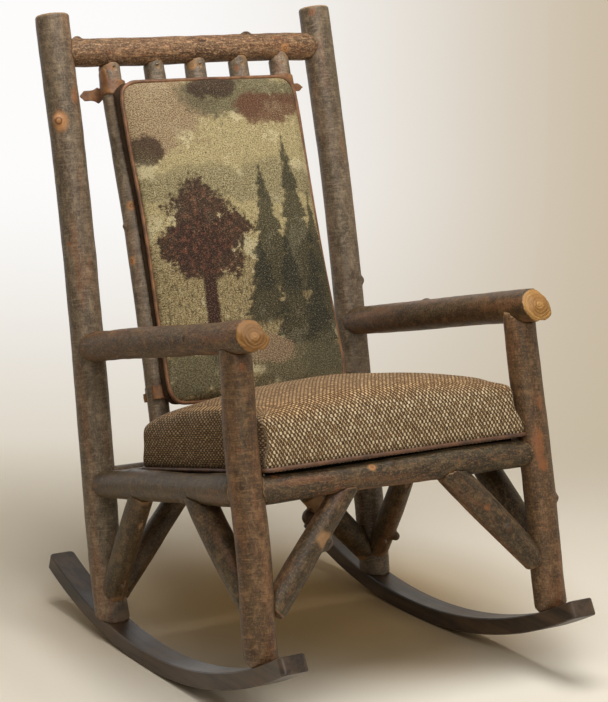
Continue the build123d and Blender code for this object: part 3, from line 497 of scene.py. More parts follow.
@dataclass(frozen=True)
class TapestryFinish:
    """Woven woodland: a broad autumn tree and firs on a straw-gold meadow, stippled as a tapestry is."""

    name: str = "woodland_tapestry"
    straw: Colour = tone(178, 160, 112)
    meadow: Colour = tone(146, 126, 84)
    rose: Colour = tone(142, 112, 88)
    moss: Colour = tone(92, 86, 64)
    fir: Colour = tone(42, 42, 34)
    umber: Colour = tone(54, 32, 29)
    russet: Colour = tone(104, 60, 46)
    cream: Colour = tone(232, 220, 178)
    firs: tuple[tuple[float, float, float], ...] = (
        (0.055, 0.13, 0.24), (0.118, 0.185, 0.30), (0.158, 0.07, 0.26),
        (0.09, 0.0, 0.22), (0.142, -0.07, 0.2), (0.03, -0.02, 0.15),
    )
    crowns: tuple[tuple[float, float, float, float], ...] = (
        (-0.085, 0.035, 0.062, 0.060), (-0.035, 0.0, 0.05, 0.042),
        (-0.125, -0.015, 0.045, 0.045), (-0.075, -0.045, 0.075, 0.036),
    )
    trunks: tuple[tuple[float, float, float], ...] = ((-0.082, 0.015, 0.05), (-0.03, 0.009, -0.16))
    patches: tuple[tuple[tuple[float, float], tuple[float, float], str], ...] = (
        ((0.04, 0.27), (0.13, 0.05), "moss"), ((0.10, 0.235), (0.075, 0.032), "russet"),
        ((-0.01, 0.285), (0.05, 0.03), "umber"), ((-0.165, 0.16), (0.03, 0.032), "umber"),
        ((0.1, -0.26), (0.12, 0.05), "moss"), ((-0.12, -0.25), (0.1, 0.04), "moss"),
        ((0.02, -0.22), (0.06, 0.025), "rose"),
    )

    def make(self) -> Material:
        """Returns the material, on the cloth coordinate of the back cushion."""
        made, g, shader = material(self.name)
        coord = g.attribute("cloth_co", "Vector")
        split = g.add("SeparateXYZ", {0: coord}).outputs
        x, v = split[0], split[1]
        speck = g.noise(g.stretch(coord, (1, 1.3, 1)), 330.0, 2.0, 0.7)
        loose = g.noise(coord, 95.0, 5.0, 0.75)
        wide = g.noise(coord, 13.0, 5.0, 0.62)
        stipple = g.plus(g.swing(speck, 3.0), g.minus(wide, 0.5))

        def stitched(mask: object, strength: float = 0.9, spread: float = 0.8):
            """Returns a mask with its edge broken up into single stitches."""
            return g.times(g.step(g.plus(mask, g.times(stipple, spread)), 0.35, 0.65), strength)

        def blob(middle: tuple[float, float], reach: tuple[float, float], rag: float = 0.9):
            """Returns a ragged round mask."""
            a = g.over(g.minus(x, middle[0]), reach[0])
            b = g.over(g.minus(v, middle[1]), reach[1])
            off = g.distance(a, b)
            torn = g.plus(g.times(g.minus(loose, 0.5), rag), g.swing(wide, 2.4))
            return g.step(g.plus(off, torn), 1.35, 0.6)

        ridge = g.plus(v, g.swing(wide, 0.16))
        colour = g.mix(stitched(g.step(ridge, -0.06, 0.04)), self.meadow, self.straw)
        colour = g.mix(stitched(g.step(wide, 0.52, 0.64), 0.5), colour, self.cream)
        colour = g.mix(g.times(g.step(loose, 0.55, 0.66), 0.4), colour, self.cream)
        colour = g.mix(g.times(g.step(loose, 0.46, 0.34), 0.55), colour, self.moss)
        tuft = g.noise(g.stretch(coord, (210, 60, 1)), 1.0, 3.0, 0.6)
        grass = g.times(g.step(v, 0.02, -0.12), g.step(tuft, 0.52, 0.62))
        colour = g.mix(g.times(grass, 0.55), colour, self.umber)
        colour = g.mix(stitched(blob((-0.13, 0.25), (0.1, 0.09)), 0.8), colour, self.rose)
        hills = g.times(g.step(ridge, 0.045, 0.075), g.step(ridge, 0.15, 0.1))
        colour = g.mix(stitched(hills, 0.5), colour, self.moss)
        for middle, top, height in self.firs:
            down = g.over(g.minus(top, v), height)
            tiers = g.math("FRACT", g.times(down, 5.5))
            width = g.times(down, g.plus(g.times(tiers, 0.022), 0.036))
            off = g.math("ABSOLUTE", g.minus(x, middle))
            off = g.plus(off, g.swing(loose, 0.03))
            body = g.step(g.minus(width, off), -0.007, 0.008)
            body = g.times(body, g.step(down, 1.12, 0.9))
            body = g.times(body, g.step(down, -0.02, 0.03))
            needles = g.mix(g.step(speck, 0.56, 0.68), self.fir, self.moss)
            colour = g.mix(stitched(body, 0.85), colour, needles)
        for middle, width, top in self.trunks:
            lean = g.plus(g.minus(x, middle), g.swing(wide, 0.03))
            stem = g.times(g.step(g.math("ABSOLUTE", lean), width, width * 0.6), g.step(v, top, top - 0.02))
            wood = g.mix(g.step(speck, 0.5, 0.7), self.umber, self.russet)
            colour = g.mix(g.times(stem, g.step(v, -0.255, -0.235)), colour, wood)
        for cx, cv, rx, rv in self.crowns:
            leaves = g.mix(g.step(loose, 0.48, 0.6), self.umber, self.russet)
            colour = g.mix(stitched(blob((cx, cv), (rx, rv), 1.6), 0.95, 0.7), colour, leaves)
        for middle, reach, shade in self.patches:
            colour = g.mix(stitched(blob(middle, reach), 0.85), colour, getattr(self, shade))
        fine = g.noise(coord, 560.0, 1.0)
        bright = g.add("RGBToBW", {0: colour}).outputs[0]
        bright = g.step(bright, 0.03, 0.30, 0.14, 1.0)
        colour = g.mix(g.times(g.times(g.step(fine, 0.52, 0.62), 0.55), bright), colour, self.cream)
        colour = g.mix(g.times(g.times(g.step(speck, 0.53, 0.62), 0.5), bright), colour, self.cream)
        colour = g.mix(g.times(g.step(speck, 0.47, 0.38), 0.62), colour, self.fir)
        g.feed(shader.inputs["Base Color"], colour)
        shader.inputs["Roughness"].default_value = 0.9
        shader.inputs["Specular IOR Level"].default_value = 0.2
        ribs = g.math("SINE", g.times(v, 3900.0))
        relief(g, shader, g.plus(g.times(ribs, 0.35), speck), 0.0008)
        return made


@dataclass(frozen=True)
class LeatherFinish:
    """Leather of the ties and the welts."""

    name: str
    pale: Colour
    deep: Colour
    roughness: float = 0.5

    def make(self) -> Material:
        """Returns the material."""
        made, g, shader = material(self.name)
        place = g.add("TexCoord").outputs["Object"]
        hide = g.group("hide", {"Coord": place, "Pale": self.pale, "Deep": self.deep})
        g.feed(shader.inputs["Base Color"], hide["Color"])
        shader.inputs["Roughness"].default_value = self.roughness
        relief(g, shader, hide["Height"], 0.0005)
        return made


@dataclass(frozen=True)
class PlainClothFinish:
    """A plain woven cloth or foam, with a fine thread or cell pattern."""

    name: str
    pale: Colour
    deep: Colour
    thread: float = 1500.0

    def make(self) -> Material:
        """Returns the material."""
        made, g, shader = material(self.name)
        place = g.add("TexCoord").outputs["Object"]
        split = g.add("SeparateXYZ", {0: place}).outputs
        warp = g.math("SINE", g.times(split[0], self.thread))
        weft = g.math("SINE", g.times(g.plus(split[1], split[2]), self.thread))
        cloud = g.noise(place, 30.0, 4.0, 0.6)
        threads = g.plus(g.times(g.times(warp, weft), 0.3), cloud)
        g.feed(shader.inputs["Base Color"], g.mix(g.step(threads, 0.2, 0.85), self.deep, self.pale))
        shader.inputs["Roughness"].default_value = 0.9
        shader.inputs["Specular IOR Level"].default_value = 0.2
        relief(g, shader, threads, 0.0005)
        return made


@dataclass(frozen=True)
class SteelFinish:
    """Zinc-grey fasteners with a worn, slightly uneven surface."""

    name: str = "fastener_steel"

    def make(self) -> Material:
        """Returns the material."""
        made, g, shader = material(self.name)
        place = g.add("TexCoord").outputs["Object"]
        cloud = g.noise(place, 180.0, 4.0, 0.6)
        g.feed(shader.inputs["Base Color"], g.mix(cloud, tone(120, 118, 112), tone(172, 170, 164)))
        shader.inputs["Metallic"].default_value = 1.0
        g.feed(shader.inputs["Roughness"], g.step(cloud, 0.2, 0.8, 0.32, 0.55))
        relief(g, shader, cloud, 0.0002)
        return made


# --------------------------------------------------------------------------------------------------
# Mesh helpers


def points_of(mesh: bpy.types.Mesh, what: str = "co") -> np.ndarray:
    """Returns the places or normals of a mesh's vertices, one a row."""
    flat = np.empty(3 * len(mesh.vertices))
    mesh.vertices.foreach_get(what, flat)
    return flat.reshape(-1, 3)


def move_points(mesh: bpy.types.Mesh, points: np.ndarray) -> None:
    """Puts a mesh's vertices at new places."""
    mesh.vertices.foreach_set("co", points.ravel())
    mesh.update()


def write_attribute(mesh: bpy.types.Mesh, name: str, values: np.ndarray) -> None:
    """Stores a number or a vector for each vertex."""
    kind, key = ("FLOAT", "value") if values.ndim == 1 else ("FLOAT_VECTOR", "vector")
    layer = mesh.attributes.new(name, kind, "POINT")
    layer.data.foreach_set(key, values.astype(np.float32).ravel())


def smooth_step(values: np.ndarray, low: float, high: float) -> np.ndarray:
    """Returns values turned smoothly from 0 at low to 1 at high."""
    t = np.clip((values - low) / (high - low), 0, 1)
    return t * t * (3 - 2 * t)


def new_piece(name: str, bm: bmesh.types.BMesh) -> Piece:
    """Returns an object at the origin made of a bmesh, which is freed."""
    mesh = bpy.data.meshes.new(name)
    bm.to_mesh(mesh)
    bm.free()
    piece = bpy.data.objects.new(name, mesh)
    bpy.context.scene.collection.objects.link(piece)
    return piece


def merged_copy(*nodes: str) -> bmesh.types.BMesh:
    """Returns a bmesh of some CAD nodes with their loose triangles merged."""
    bm = bmesh.new()
    for node in nodes:
        bm.from_mesh(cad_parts[node].data)
    bmesh.ops.remove_doubles(bm, verts=bm.verts, dist=MERGE)
    return bm


def apply_modifiers(piece: Piece) -> None:
    """Makes a piece's modifiers part of its mesh."""
    evaluated = piece.evaluated_get(bpy.context.evaluated_depsgraph_get())
    mesh = bpy.data.meshes.new_from_object(evaluated)
    piece.modifiers.clear()
    piece.data = mesh


def remesh(piece: Piece, voxel: float) -> None:
    """Rebuilds a closed piece with even quads of the given size."""
    modifier = piece.modifiers.new("even", "REMESH")
    modifier.mode = "VOXEL"
    modifier.voxel_size = voxel
    apply_modifiers(piece)


def relax(piece: Piece, rounds: int, factor: float = 0.5) -> None:
    """Smooths a piece's vertices."""
    bm = bmesh.new()
    bm.from_mesh(piece.data)
    axes = dict.fromkeys(("use_axis_x", "use_axis_y", "use_axis_z"), True)
    for _ in range(rounds):
        bmesh.ops.smooth_vert(bm, verts=bm.verts, factor=factor, **axes)
    bm.to_mesh(piece.data)
    bm.free()


def round_off(piece: Piece) -> None:
    """Shades a piece smooth."""
    piece.data.polygons.foreach_set("use_smooth", [True] * len(piece.data.polygons))


def soften(piece: Piece) -> None:
    """Gives a cushion one level of subdivision and smooth shading."""
    modifier = piece.modifiers.new("soft", "SUBSURF")
    modifier.levels = modifier.render_levels = 1
    round_off(piece)


def outer_hit(tree: BVHTree, target: Vector, outward: Vector, far: float = 0.05) -> Vector:
    """Returns where a line from outside meets a cushion beside a target, or the target where it misses."""
    return tree.ray_cast(target + outward * far, -outward)[0] or target


def finish_piece(piece: Piece, finish: Material, slot: str, *replaced: str) -> None:
    """Gives a piece its material and its body, and hides the nodes that it stands for."""
    piece.data.materials.clear()
    piece.data.materials.append(finish)
    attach(piece, "root")
    if replaced:
        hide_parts(*replaced)
    log.info("%s: %d faces", piece.name, len(piece.data.polygons))


def puff(
    piece: Piece, cap: float, free: np.ndarray, pressure: float = 4.0, frames: int = 20
) -> None:
    """Swells a closed cushion by a short cloth simulation, and keeps the result.

    Args:
        piece: The cushion, evenly meshed.
        cap: The furthest that a point may move, in metres.
        free: How freely each vertex moves, from 0 to 1.
        pressure: The pressure inside.
        frames: How long it swells.
    """
    scene = bpy.context.scene
    start = points_of(piece.data)
    modifier = piece.modifiers.new("puff", "CLOTH")
    cloth = modifier.settings
    cloth.quality = 5
    cloth.mass = 0.3
    cloth.use_pressure = True
    cloth.uniform_pressure_force = pressure
    cloth.effector_weights.gravity = 0.0
    modifier.point_cache.frame_start = 1
    modifier.point_cache.frame_end = frames
    for number in range(1, frames + 1):
        scene.frame_set(number)
    evaluated = piece.evaluated_get(bpy.context.evaluated_depsgraph_get())
    moved = points_of(evaluated.data)
    piece.modifiers.remove(modifier)
    scene.frame_set(1)
    way = moved - start
    reach = np.linalg.norm(way, axis=1, keepdims=True)
    way *= np.minimum(1.0, cap / np.maximum(reach, 1e-9)) * free[:, None]
    move_points(piece.data, start + way)


def tube(name: str, path: Sequence[Vector], radius: float, sides: int = 3) -> Piece:
    """Returns a closed ring of mesh tube through the points of a path.

    Args:
        name: The piece's name.
        path: The points that it passes.
        radius: Its radius in metres.
        sides: The resolution of its round.

    Returns:
        The tube's object, at the origin.
    """
    curve = bpy.data.curves.new(name, "CURVE")
    curve.dimensions = "3D"
    curve.bevel_depth = radius
    curve.bevel_resolution = sides
    spline = curve.splines.new("POLY")
    spline.points.add(len(path) - 1)
    for point, place in zip(spline.points, path):
        point.co = (*place, 1.0)
    spline.use_cyclic_u = True
    holder = bpy.data.objects.new(name + "_path", curve)
    bpy.context.scene.collection.objects.link(holder)
    mesh = bpy.data.meshes.new_from_object(holder.evaluated_get(bpy.context.evaluated_depsgraph_get()))
    bpy.data.objects.remove(holder)
    piece = bpy.data.objects.new(name, mesh)
    bpy.context.scene.collection.objects.link(piece)
    round_off(piece)
    return piece


# --------------------------------------------------------------------------------------------------
# Logs


class Scar(Enum):
    """What a mark on the bark is."""

    KNOT = "knot"
    STAIN = "stain"


@dataclass(frozen=True)
class Mark:
    """A knot or a rust-coloured place on a log, by its middle and its reach in metres."""

    kind: Scar
    middle: tuple[float, float, float]
    reach: float
    stretch: float = 1.0

    def strength(self, places: np.ndarray, axis: np.ndarray) -> np.ndarray:
        """Returns how strong the mark is at each place, stretched along the log's axis."""
        way = places - np.array(self.middle)
        along = way @ axis
        off = np.sqrt(np.maximum((way**2).sum(1) - along**2, 0) + (along / self.stretch) ** 2)
        return np.clip(1 - off / self.reach, 0, 1)


@dataclass(frozen=True)
class WhittledEnd:
    """Flat cuts round the rim of a log's end."""

    way: tuple[float, float, float]
    count: int = 6
    tilt: float = math.radians(48)
    depth: float = 0.009
    turn: float = 0.3
    radius: float = 0.026

    def carve(self, bm: bmesh.types.BMesh) -> None:
        """Cuts the facets on the bmesh of a log."""
        way = Vector(self.way).normalized()
        far = max(vert.co.dot(way) for vert in bm.verts)
        rim = [vert.co for vert in bm.verts if vert.co.dot(way) > far - 0.0015]
        middle = sum(rim, Vector()) / len(rim)
        first = way.orthogonal().normalized()
        for number in range(self.count):
            wobble = 0.16 * math.sin(number * 2.3 + self.turn * 9)
            angle = 2 * math.pi * (number + wobble) / self.count + self.turn
            out = Matrix.Rotation(angle, 3, way) @ first
            depth = self.depth * (1 + 0.25 * math.sin(number * 1.7 + self.turn * 5))
            normal = way * math.cos(self.tilt) + out * math.sin(self.tilt)
            made = bmesh.ops.bisect_plane(
                bm, geom=bm.verts[:] + bm.edges[:] + bm.faces[:], plane_no=normal, clear_outer=True,
                plane_co=middle + out * self.radius - way * depth)
            edges = [item for item in made["geom_cut"] if isinstance(item, bmesh.types.BMEdge)]
            bmesh.ops.edgenet_fill(bm, edges=edges)


@dataclass
class LogPiece:
    """One bark-on log: a remeshed copy of its solid with bark relief and marks for its cuts and knots."""

    name: str
    finish: BarkFinish
    surface: Surface = Surface.SMOOTH
    marks: tuple[Mark, ...] = ()
    ends: tuple[WhittledEnd, ...] = ()
    voxel: float = 0.0028
    bark_foot: float = 0.0
    bins: int = 22
    cut_depth: tuple[float, float] = (0.0007, 0.0017)
    bump_height: tuple[float, float] = (0.001, 0.0045)
    end_band: float = 0.014
    margin: float = 0.06
    fewest: int = 30
    widest: float = 1.12
    steepest: float = 0.12
    axis: np.ndarray = field(default_factory=lambda: np.array([0.0, 0.0, 1.0]))

    def build(self) -> Piece:
        """Builds and dresses the log, and returns it."""
        bm = merged_copy(self.name)
        for end in self.ends:
            end.carve(bm)
        piece = new_piece("log_" + self.name, bm)
        remesh(piece, self.voxel)
        relax(piece, 1, 0.4)
        mesh = piece.data
        places = points_of(mesh)
        coord, depth = self.follow(places)
        normals = points_of(mesh, "normal")
        along = coord[:, 2]
        near_end = np.minimum(along - along.min(), along.max() - along) < self.end_band
        facing = smooth_step(np.abs(normals @ self.axis), 0.42, 0.6) * near_end
        cut = np.maximum(smooth_step(depth, *self.cut_depth), facing)
        for end in self.ends:
            short = places @ np.array(Vector(end.way).normalized())
            cut = np.maximum(cut, smooth_step(short - short.max(), -end.depth * 1.25, -end.depth * 0.95))
        if self.bark_foot:
            cut = cut * smooth_step(along - along.min(), self.bark_foot * 0.8, self.bark_foot)
        move_points(mesh, places + normals * (self.bark_relief(coord) * (1 - 0.85 * cut))[:, None])
        write_attribute(mesh, "bark_co", coord)
        write_attribute(mesh, "cut", cut)
        write_attribute(mesh, "bump", smooth_step(-depth, *self.bump_height))
        for kind in Scar:
            strength = np.zeros(len(places))
            for mark in self.marks:
                if mark.kind is kind:
                    strength = np.maximum(strength, mark.strength(places, self.axis))
            write_attribute(mesh, kind.value, strength)
        round_off(piece)
        finish_piece(piece, self.finish.make(), "hickory_bark", self.name)
        return piece

    @staticmethod
    def fit_circle(flat: np.ndarray) -> tuple[np.ndarray, float]:
        """Returns the centre and radius of the circle that most of the points lie on."""
        keep = np.ones(len(flat), bool)
        centre, radius = flat.mean(0), 0.02
        for _ in range(4):
            some = flat[keep]
            if len(some) < 12:
                break
            table = np.c_[2 * some, np.ones(len(some))]
            answer = np.linalg.lstsq(table, (some**2).sum(1), rcond=None)[0]
            centre = answer[:2]
            radius = math.sqrt(max(answer[2] + centre @ centre, 1e-9))
            off = np.abs(np.linalg.norm(flat - centre, axis=1) - radius)
            keep = off < max(0.0009, np.quantile(off, 0.6))
        return centre, radius

    def follow(self, places: np.ndarray) -> tuple[np.ndarray, np.ndarray]:
        """Straightens the log.

        Args:
            places: The vertices.

        Returns:
            A coordinate whose third part runs along the log, and how far each vertex lies under the bark.
        """
        middle = places.mean(0)
        axis = np.linalg.eigh(np.cov((places - middle).T))[1][:, 2]
        axis = axis * np.sign(axis[np.argmax(np.abs(axis))])
        self.axis = axis
        helper = np.array([1.0, 0, 0]) if abs(axis[0]) < 0.7 else np.array([0, 0, 1.0])
        e1 = np.cross(axis, helper)
        e1 /= np.linalg.norm(e1)
        e2 = np.cross(axis, e1)
        along = (places - middle) @ axis
        flat = np.stack([(places - middle) @ e1, (places - middle) @ e2], axis=1)
        low, high = along.min(), along.max()
        inset = self.margin * (high - low)
        edges = np.linspace(low + inset, high - inset, self.bins + 1)
        mids, rows = [], []
        for a, b in zip(edges, edges[1:]):
            chosen = flat[(along >= a) & (along < b)]
            if len(chosen) > self.fewest:
                centre, radius = self.fit_circle(chosen)
                mids.append((a + b) / 2)
                rows.append((*centre, radius))
        mids, rows = np.array(mids), np.array(rows)
        smooth = rows.copy()
        smooth[1:-1] = (rows[:-2] + 2 * rows[1:-1] + rows[2:]) / 4
        smooth[:, 2] = np.minimum(smooth[:, 2], np.median(smooth[:, 2]) * self.widest)
        for end, inner, at in ((0, 1, low), (-1, -2, high)):
            slope = (smooth[end] - smooth[inner]) / (mids[end] - mids[inner])
            guess = smooth[end] + np.clip(slope, -self.steepest, self.steepest) * (at - mids[end])
            guess[2] = smooth[end][2]
            if end == 0:
                mids, smooth = np.r_[at, mids], np.vstack([guess, smooth])
            else:
                mids, smooth = np.r_[mids, at], np.vstack([smooth, guess])
        centre_x, centre_y, radius = (np.interp(along, mids, smooth[:, k]) for k in range(3))
        a, b = flat[:, 0] - centre_x, flat[:, 1] - centre_y
        depth = radius - np.hypot(a, b)
        return np.stack([a, b, along], axis=1), depth

    def bark_relief(self, coord: np.ndarray) -> np.ndarray:
        """Returns how far the bark stands out at each vertex."""
        swell, crust, across, length = {
            Surface.SMOOTH: (0.0006, 0.00025, 95, 60),
            Surface.FLECKED: (0.0008, 0.0004, 110, 40),
            Surface.ROUGH: (0.0010, 0.0008, 130, 34),
        }[self.surface]
        shift = self.finish.seed
        out = np.empty(len(coord))
        for k, (a, b, u) in enumerate(coord):
            wave = noise.noise((a * 24 + shift, b * 24, u * 13))
            bark = noise.noise((a * across + shift, b * across, u * length))
            out[k] = swell * wave + crust * bark
        return out


def log_pieces() -> list[LogPiece]:
    """Returns every log of the chair with its own bark."""
    grey = {"mid": tone(112, 97, 78), "light": tone(164, 144, 118), "dark": tone(58, 47, 36)}
    brown = {"mid": tone(102, 77, 53), "light": tone(154, 120, 84), "dark": tone(42, 30, 19)}
    deep = {"mid": tone(80, 64, 44), "light": tone(132, 108, 76), "dark": tone(33, 25, 16)}
    worn = {"mid": tone(90, 69, 46), "light": tone(146, 114, 78), "dark": tone(38, 27, 17)}
    red = {"mid": tone(122, 92, 66), "light": tone(192, 154, 114), "dark": tone(56, 38, 26)}
    pale = {"mid": tone(128, 111, 92), "light": tone(172, 154, 130), "dark": tone(62, 50, 38)}
    dark_rail = {**deep, "mid": tone(69, 55, 38)}
    dark_brace = {**deep, "mid": tone(66, 53, 36)}
    knot, stain = Scar.KNOT, Scar.STAIN
    smooth, flecked, rough = Surface
    foot, fine = {"bark_foot": 0.05}, {"voxel": 0.0024}
    brace_cut = (tone(176, 140, 100), tone(104, 72, 48))
    logs = []

    def add(
        name: str, shades: dict[str, Colour], seed: float,
        amounts: tuple[float, float, float] = (0.5, 0.6, 0.25), surface: Surface = smooth,
        marks: tuple = (), cut: tuple = (), **more: object
    ) -> None:
        """Adds one log.

        Args:
            name: Its node.
            shades: Its palette.
            seed: Where its bark starts in the noise.
            amounts: Rust, streaks and flecks.
            surface: The kind of bark.
            marks: Kind, middle, reach and, where it isn't 1, stretch of each mark.
            cut: The pale and the deep colour of its cut wood.
            more: Further fields of the piece.
        """
        rust, streaks, flecks = amounts
        looks = {**shades, **dict(zip(("cut_pale", "cut_deep"), cut))}
        bark = BarkFinish("bark_" + name, rust_amount=rust, streaks=streaks, flecks=flecks, seed=seed, **looks)
        logs.append(LogPiece(name, bark, surface, tuple(Mark(*mark) for mark in marks), **more))

    add("rear_post_left", grey, 1.3, (0.3, 0.8, 0.25), flecked, (
        (knot, (-0.3064, 0.3528, 0.9415), 0.025, 1.1),
        (stain, (-0.270, 0.363, 0.986), 0.014, 2.2),
        (stain, (-0.3072, 0.3179, 0.7207), 0.009),
    ), **foot)
    add("rear_post_right", grey, 2.7, (0.35, 0.9, 0.18), smooth, (
        (stain, (0.262, 0.4102, 1.125), 0.016),
    ), **foot)
    add("front_post_left", brown, 4.1, (0.45, 0.85, 0.2), flecked, (
        (stain, (-0.2884, -0.2976, 0.597), 0.013),
        (stain, (-0.3016, -0.3166, 0.4666), 0.016, 0.25),
    ), **foot)
    add("front_post_right", brown, 5.9, (0.5, 0.8, 0.3), flecked, (
        (stain, (0.2776, -0.3319, 0.4076), 0.02, 3.0),
        (stain, (0.2888, -0.3173, 0.4797), 0.013, 2.0),
        (stain, (0.2818, -0.3386, 0.375), 0.016, 1.5),
    ), **foot)
    add("crest_rail", red, 7.2, (0.6, 0.1, 0.85), rough, ((knot, (0.1887, 0.3889, 1.0585), 0.013),))
    add("arm_left", worn, 8.8, (0.45, 0.25, 0.7), rough, cut=(tone(156, 112, 60), tone(112, 76, 32)),
        ends=(WhittledEnd((0, -1, 0), 6, depth=0.0075, turn=0.05),), **fine)
    add("arm_right", worn, 9.4, (0.3, 0.7, 0.35), flecked, cut=(tone(186, 142, 82), tone(142, 100, 50)),
        ends=(WhittledEnd((0, -1, 0), 9, depth=0.0045),), **fine)
    add("side_rail_left", deep, 10.6, (0.25, 0.9, 0.2))
    add("side_rail_right", deep, 11.5, (0.3, 0.7, 0.3))
    add("front_rail", dark_rail, 12.9, (0.5, 0.3, 0.6), rough, (
        (knot, (-0.059, -0.3243, 0.4096), 0.010),
        (stain, (-0.2386, -0.3123, 0.4148), 0.012),
    ))
    add("rear_rail", deep, 13.3)
    add("spindle_rail", deep, 14.8)
    spots = {
        1: ((knot, (-0.1844, 0.3088, 0.7844), 0.013), (knot, (-0.1971, 0.2862, 0.6851), 0.012),
            (stain, (-0.1874, 0.384, 1.0355), 0.016)),
        3: ((knot, (-0.0151, 0.3873, 1.032), 0.012),),
        4: ((stain, (0.0799, 0.3839, 1.0236), 0.012),),
    }
    for number in range(1, 6):
        add(f"spindle_{number}", pale, 15 + 1.7 * number, (0.3, 0.8, 0.15), marks=spots.get(number, ()))
    seeds = iter(range(30, 38))
    for kind, shades in (("front", dark_brace), ("side_front", deep), ("side_rear", deep), ("back", deep)):
        for side in ("left", "right"):
            name = f"{kind}_brace_{side}"
            marks = ((stain, (0.1579, -0.3514, 0.3179), 0.012),) if name == "front_brace_right" else ()
            add(name, shades, next(seeds) * 1.1, (0.35, 0.5, 0.35), flecked, marks, brace_cut)
    return logs


# --------------------------------------------------------------------------------------------------
# Seat and back cushion


def hull_of(name: str, *nodes: str) -> Piece:
    """Returns the closed outer form of some CAD nodes, as a new piece."""
    bm = merged_copy(*nodes)
    made = bmesh.ops.convex_hull(bm, input=bm.verts)
    inner = made["geom_interior"] + made["geom_unused"]
    loose = {item for item in inner if isinstance(item, bmesh.types.BMVert)}
    bmesh.ops.delete(bm, geom=list(loose), context="VERTS")
    hull_faces = {item for item in made["geom"] if isinstance(item, bmesh.types.BMFace)}
    bmesh.ops.delete(bm, geom=[face for face in bm.faces if face not in hull_faces], context="FACES_ONLY")
    bmesh.ops.recalc_face_normals(bm, faces=bm.faces)
    return new_piece(name, bm)


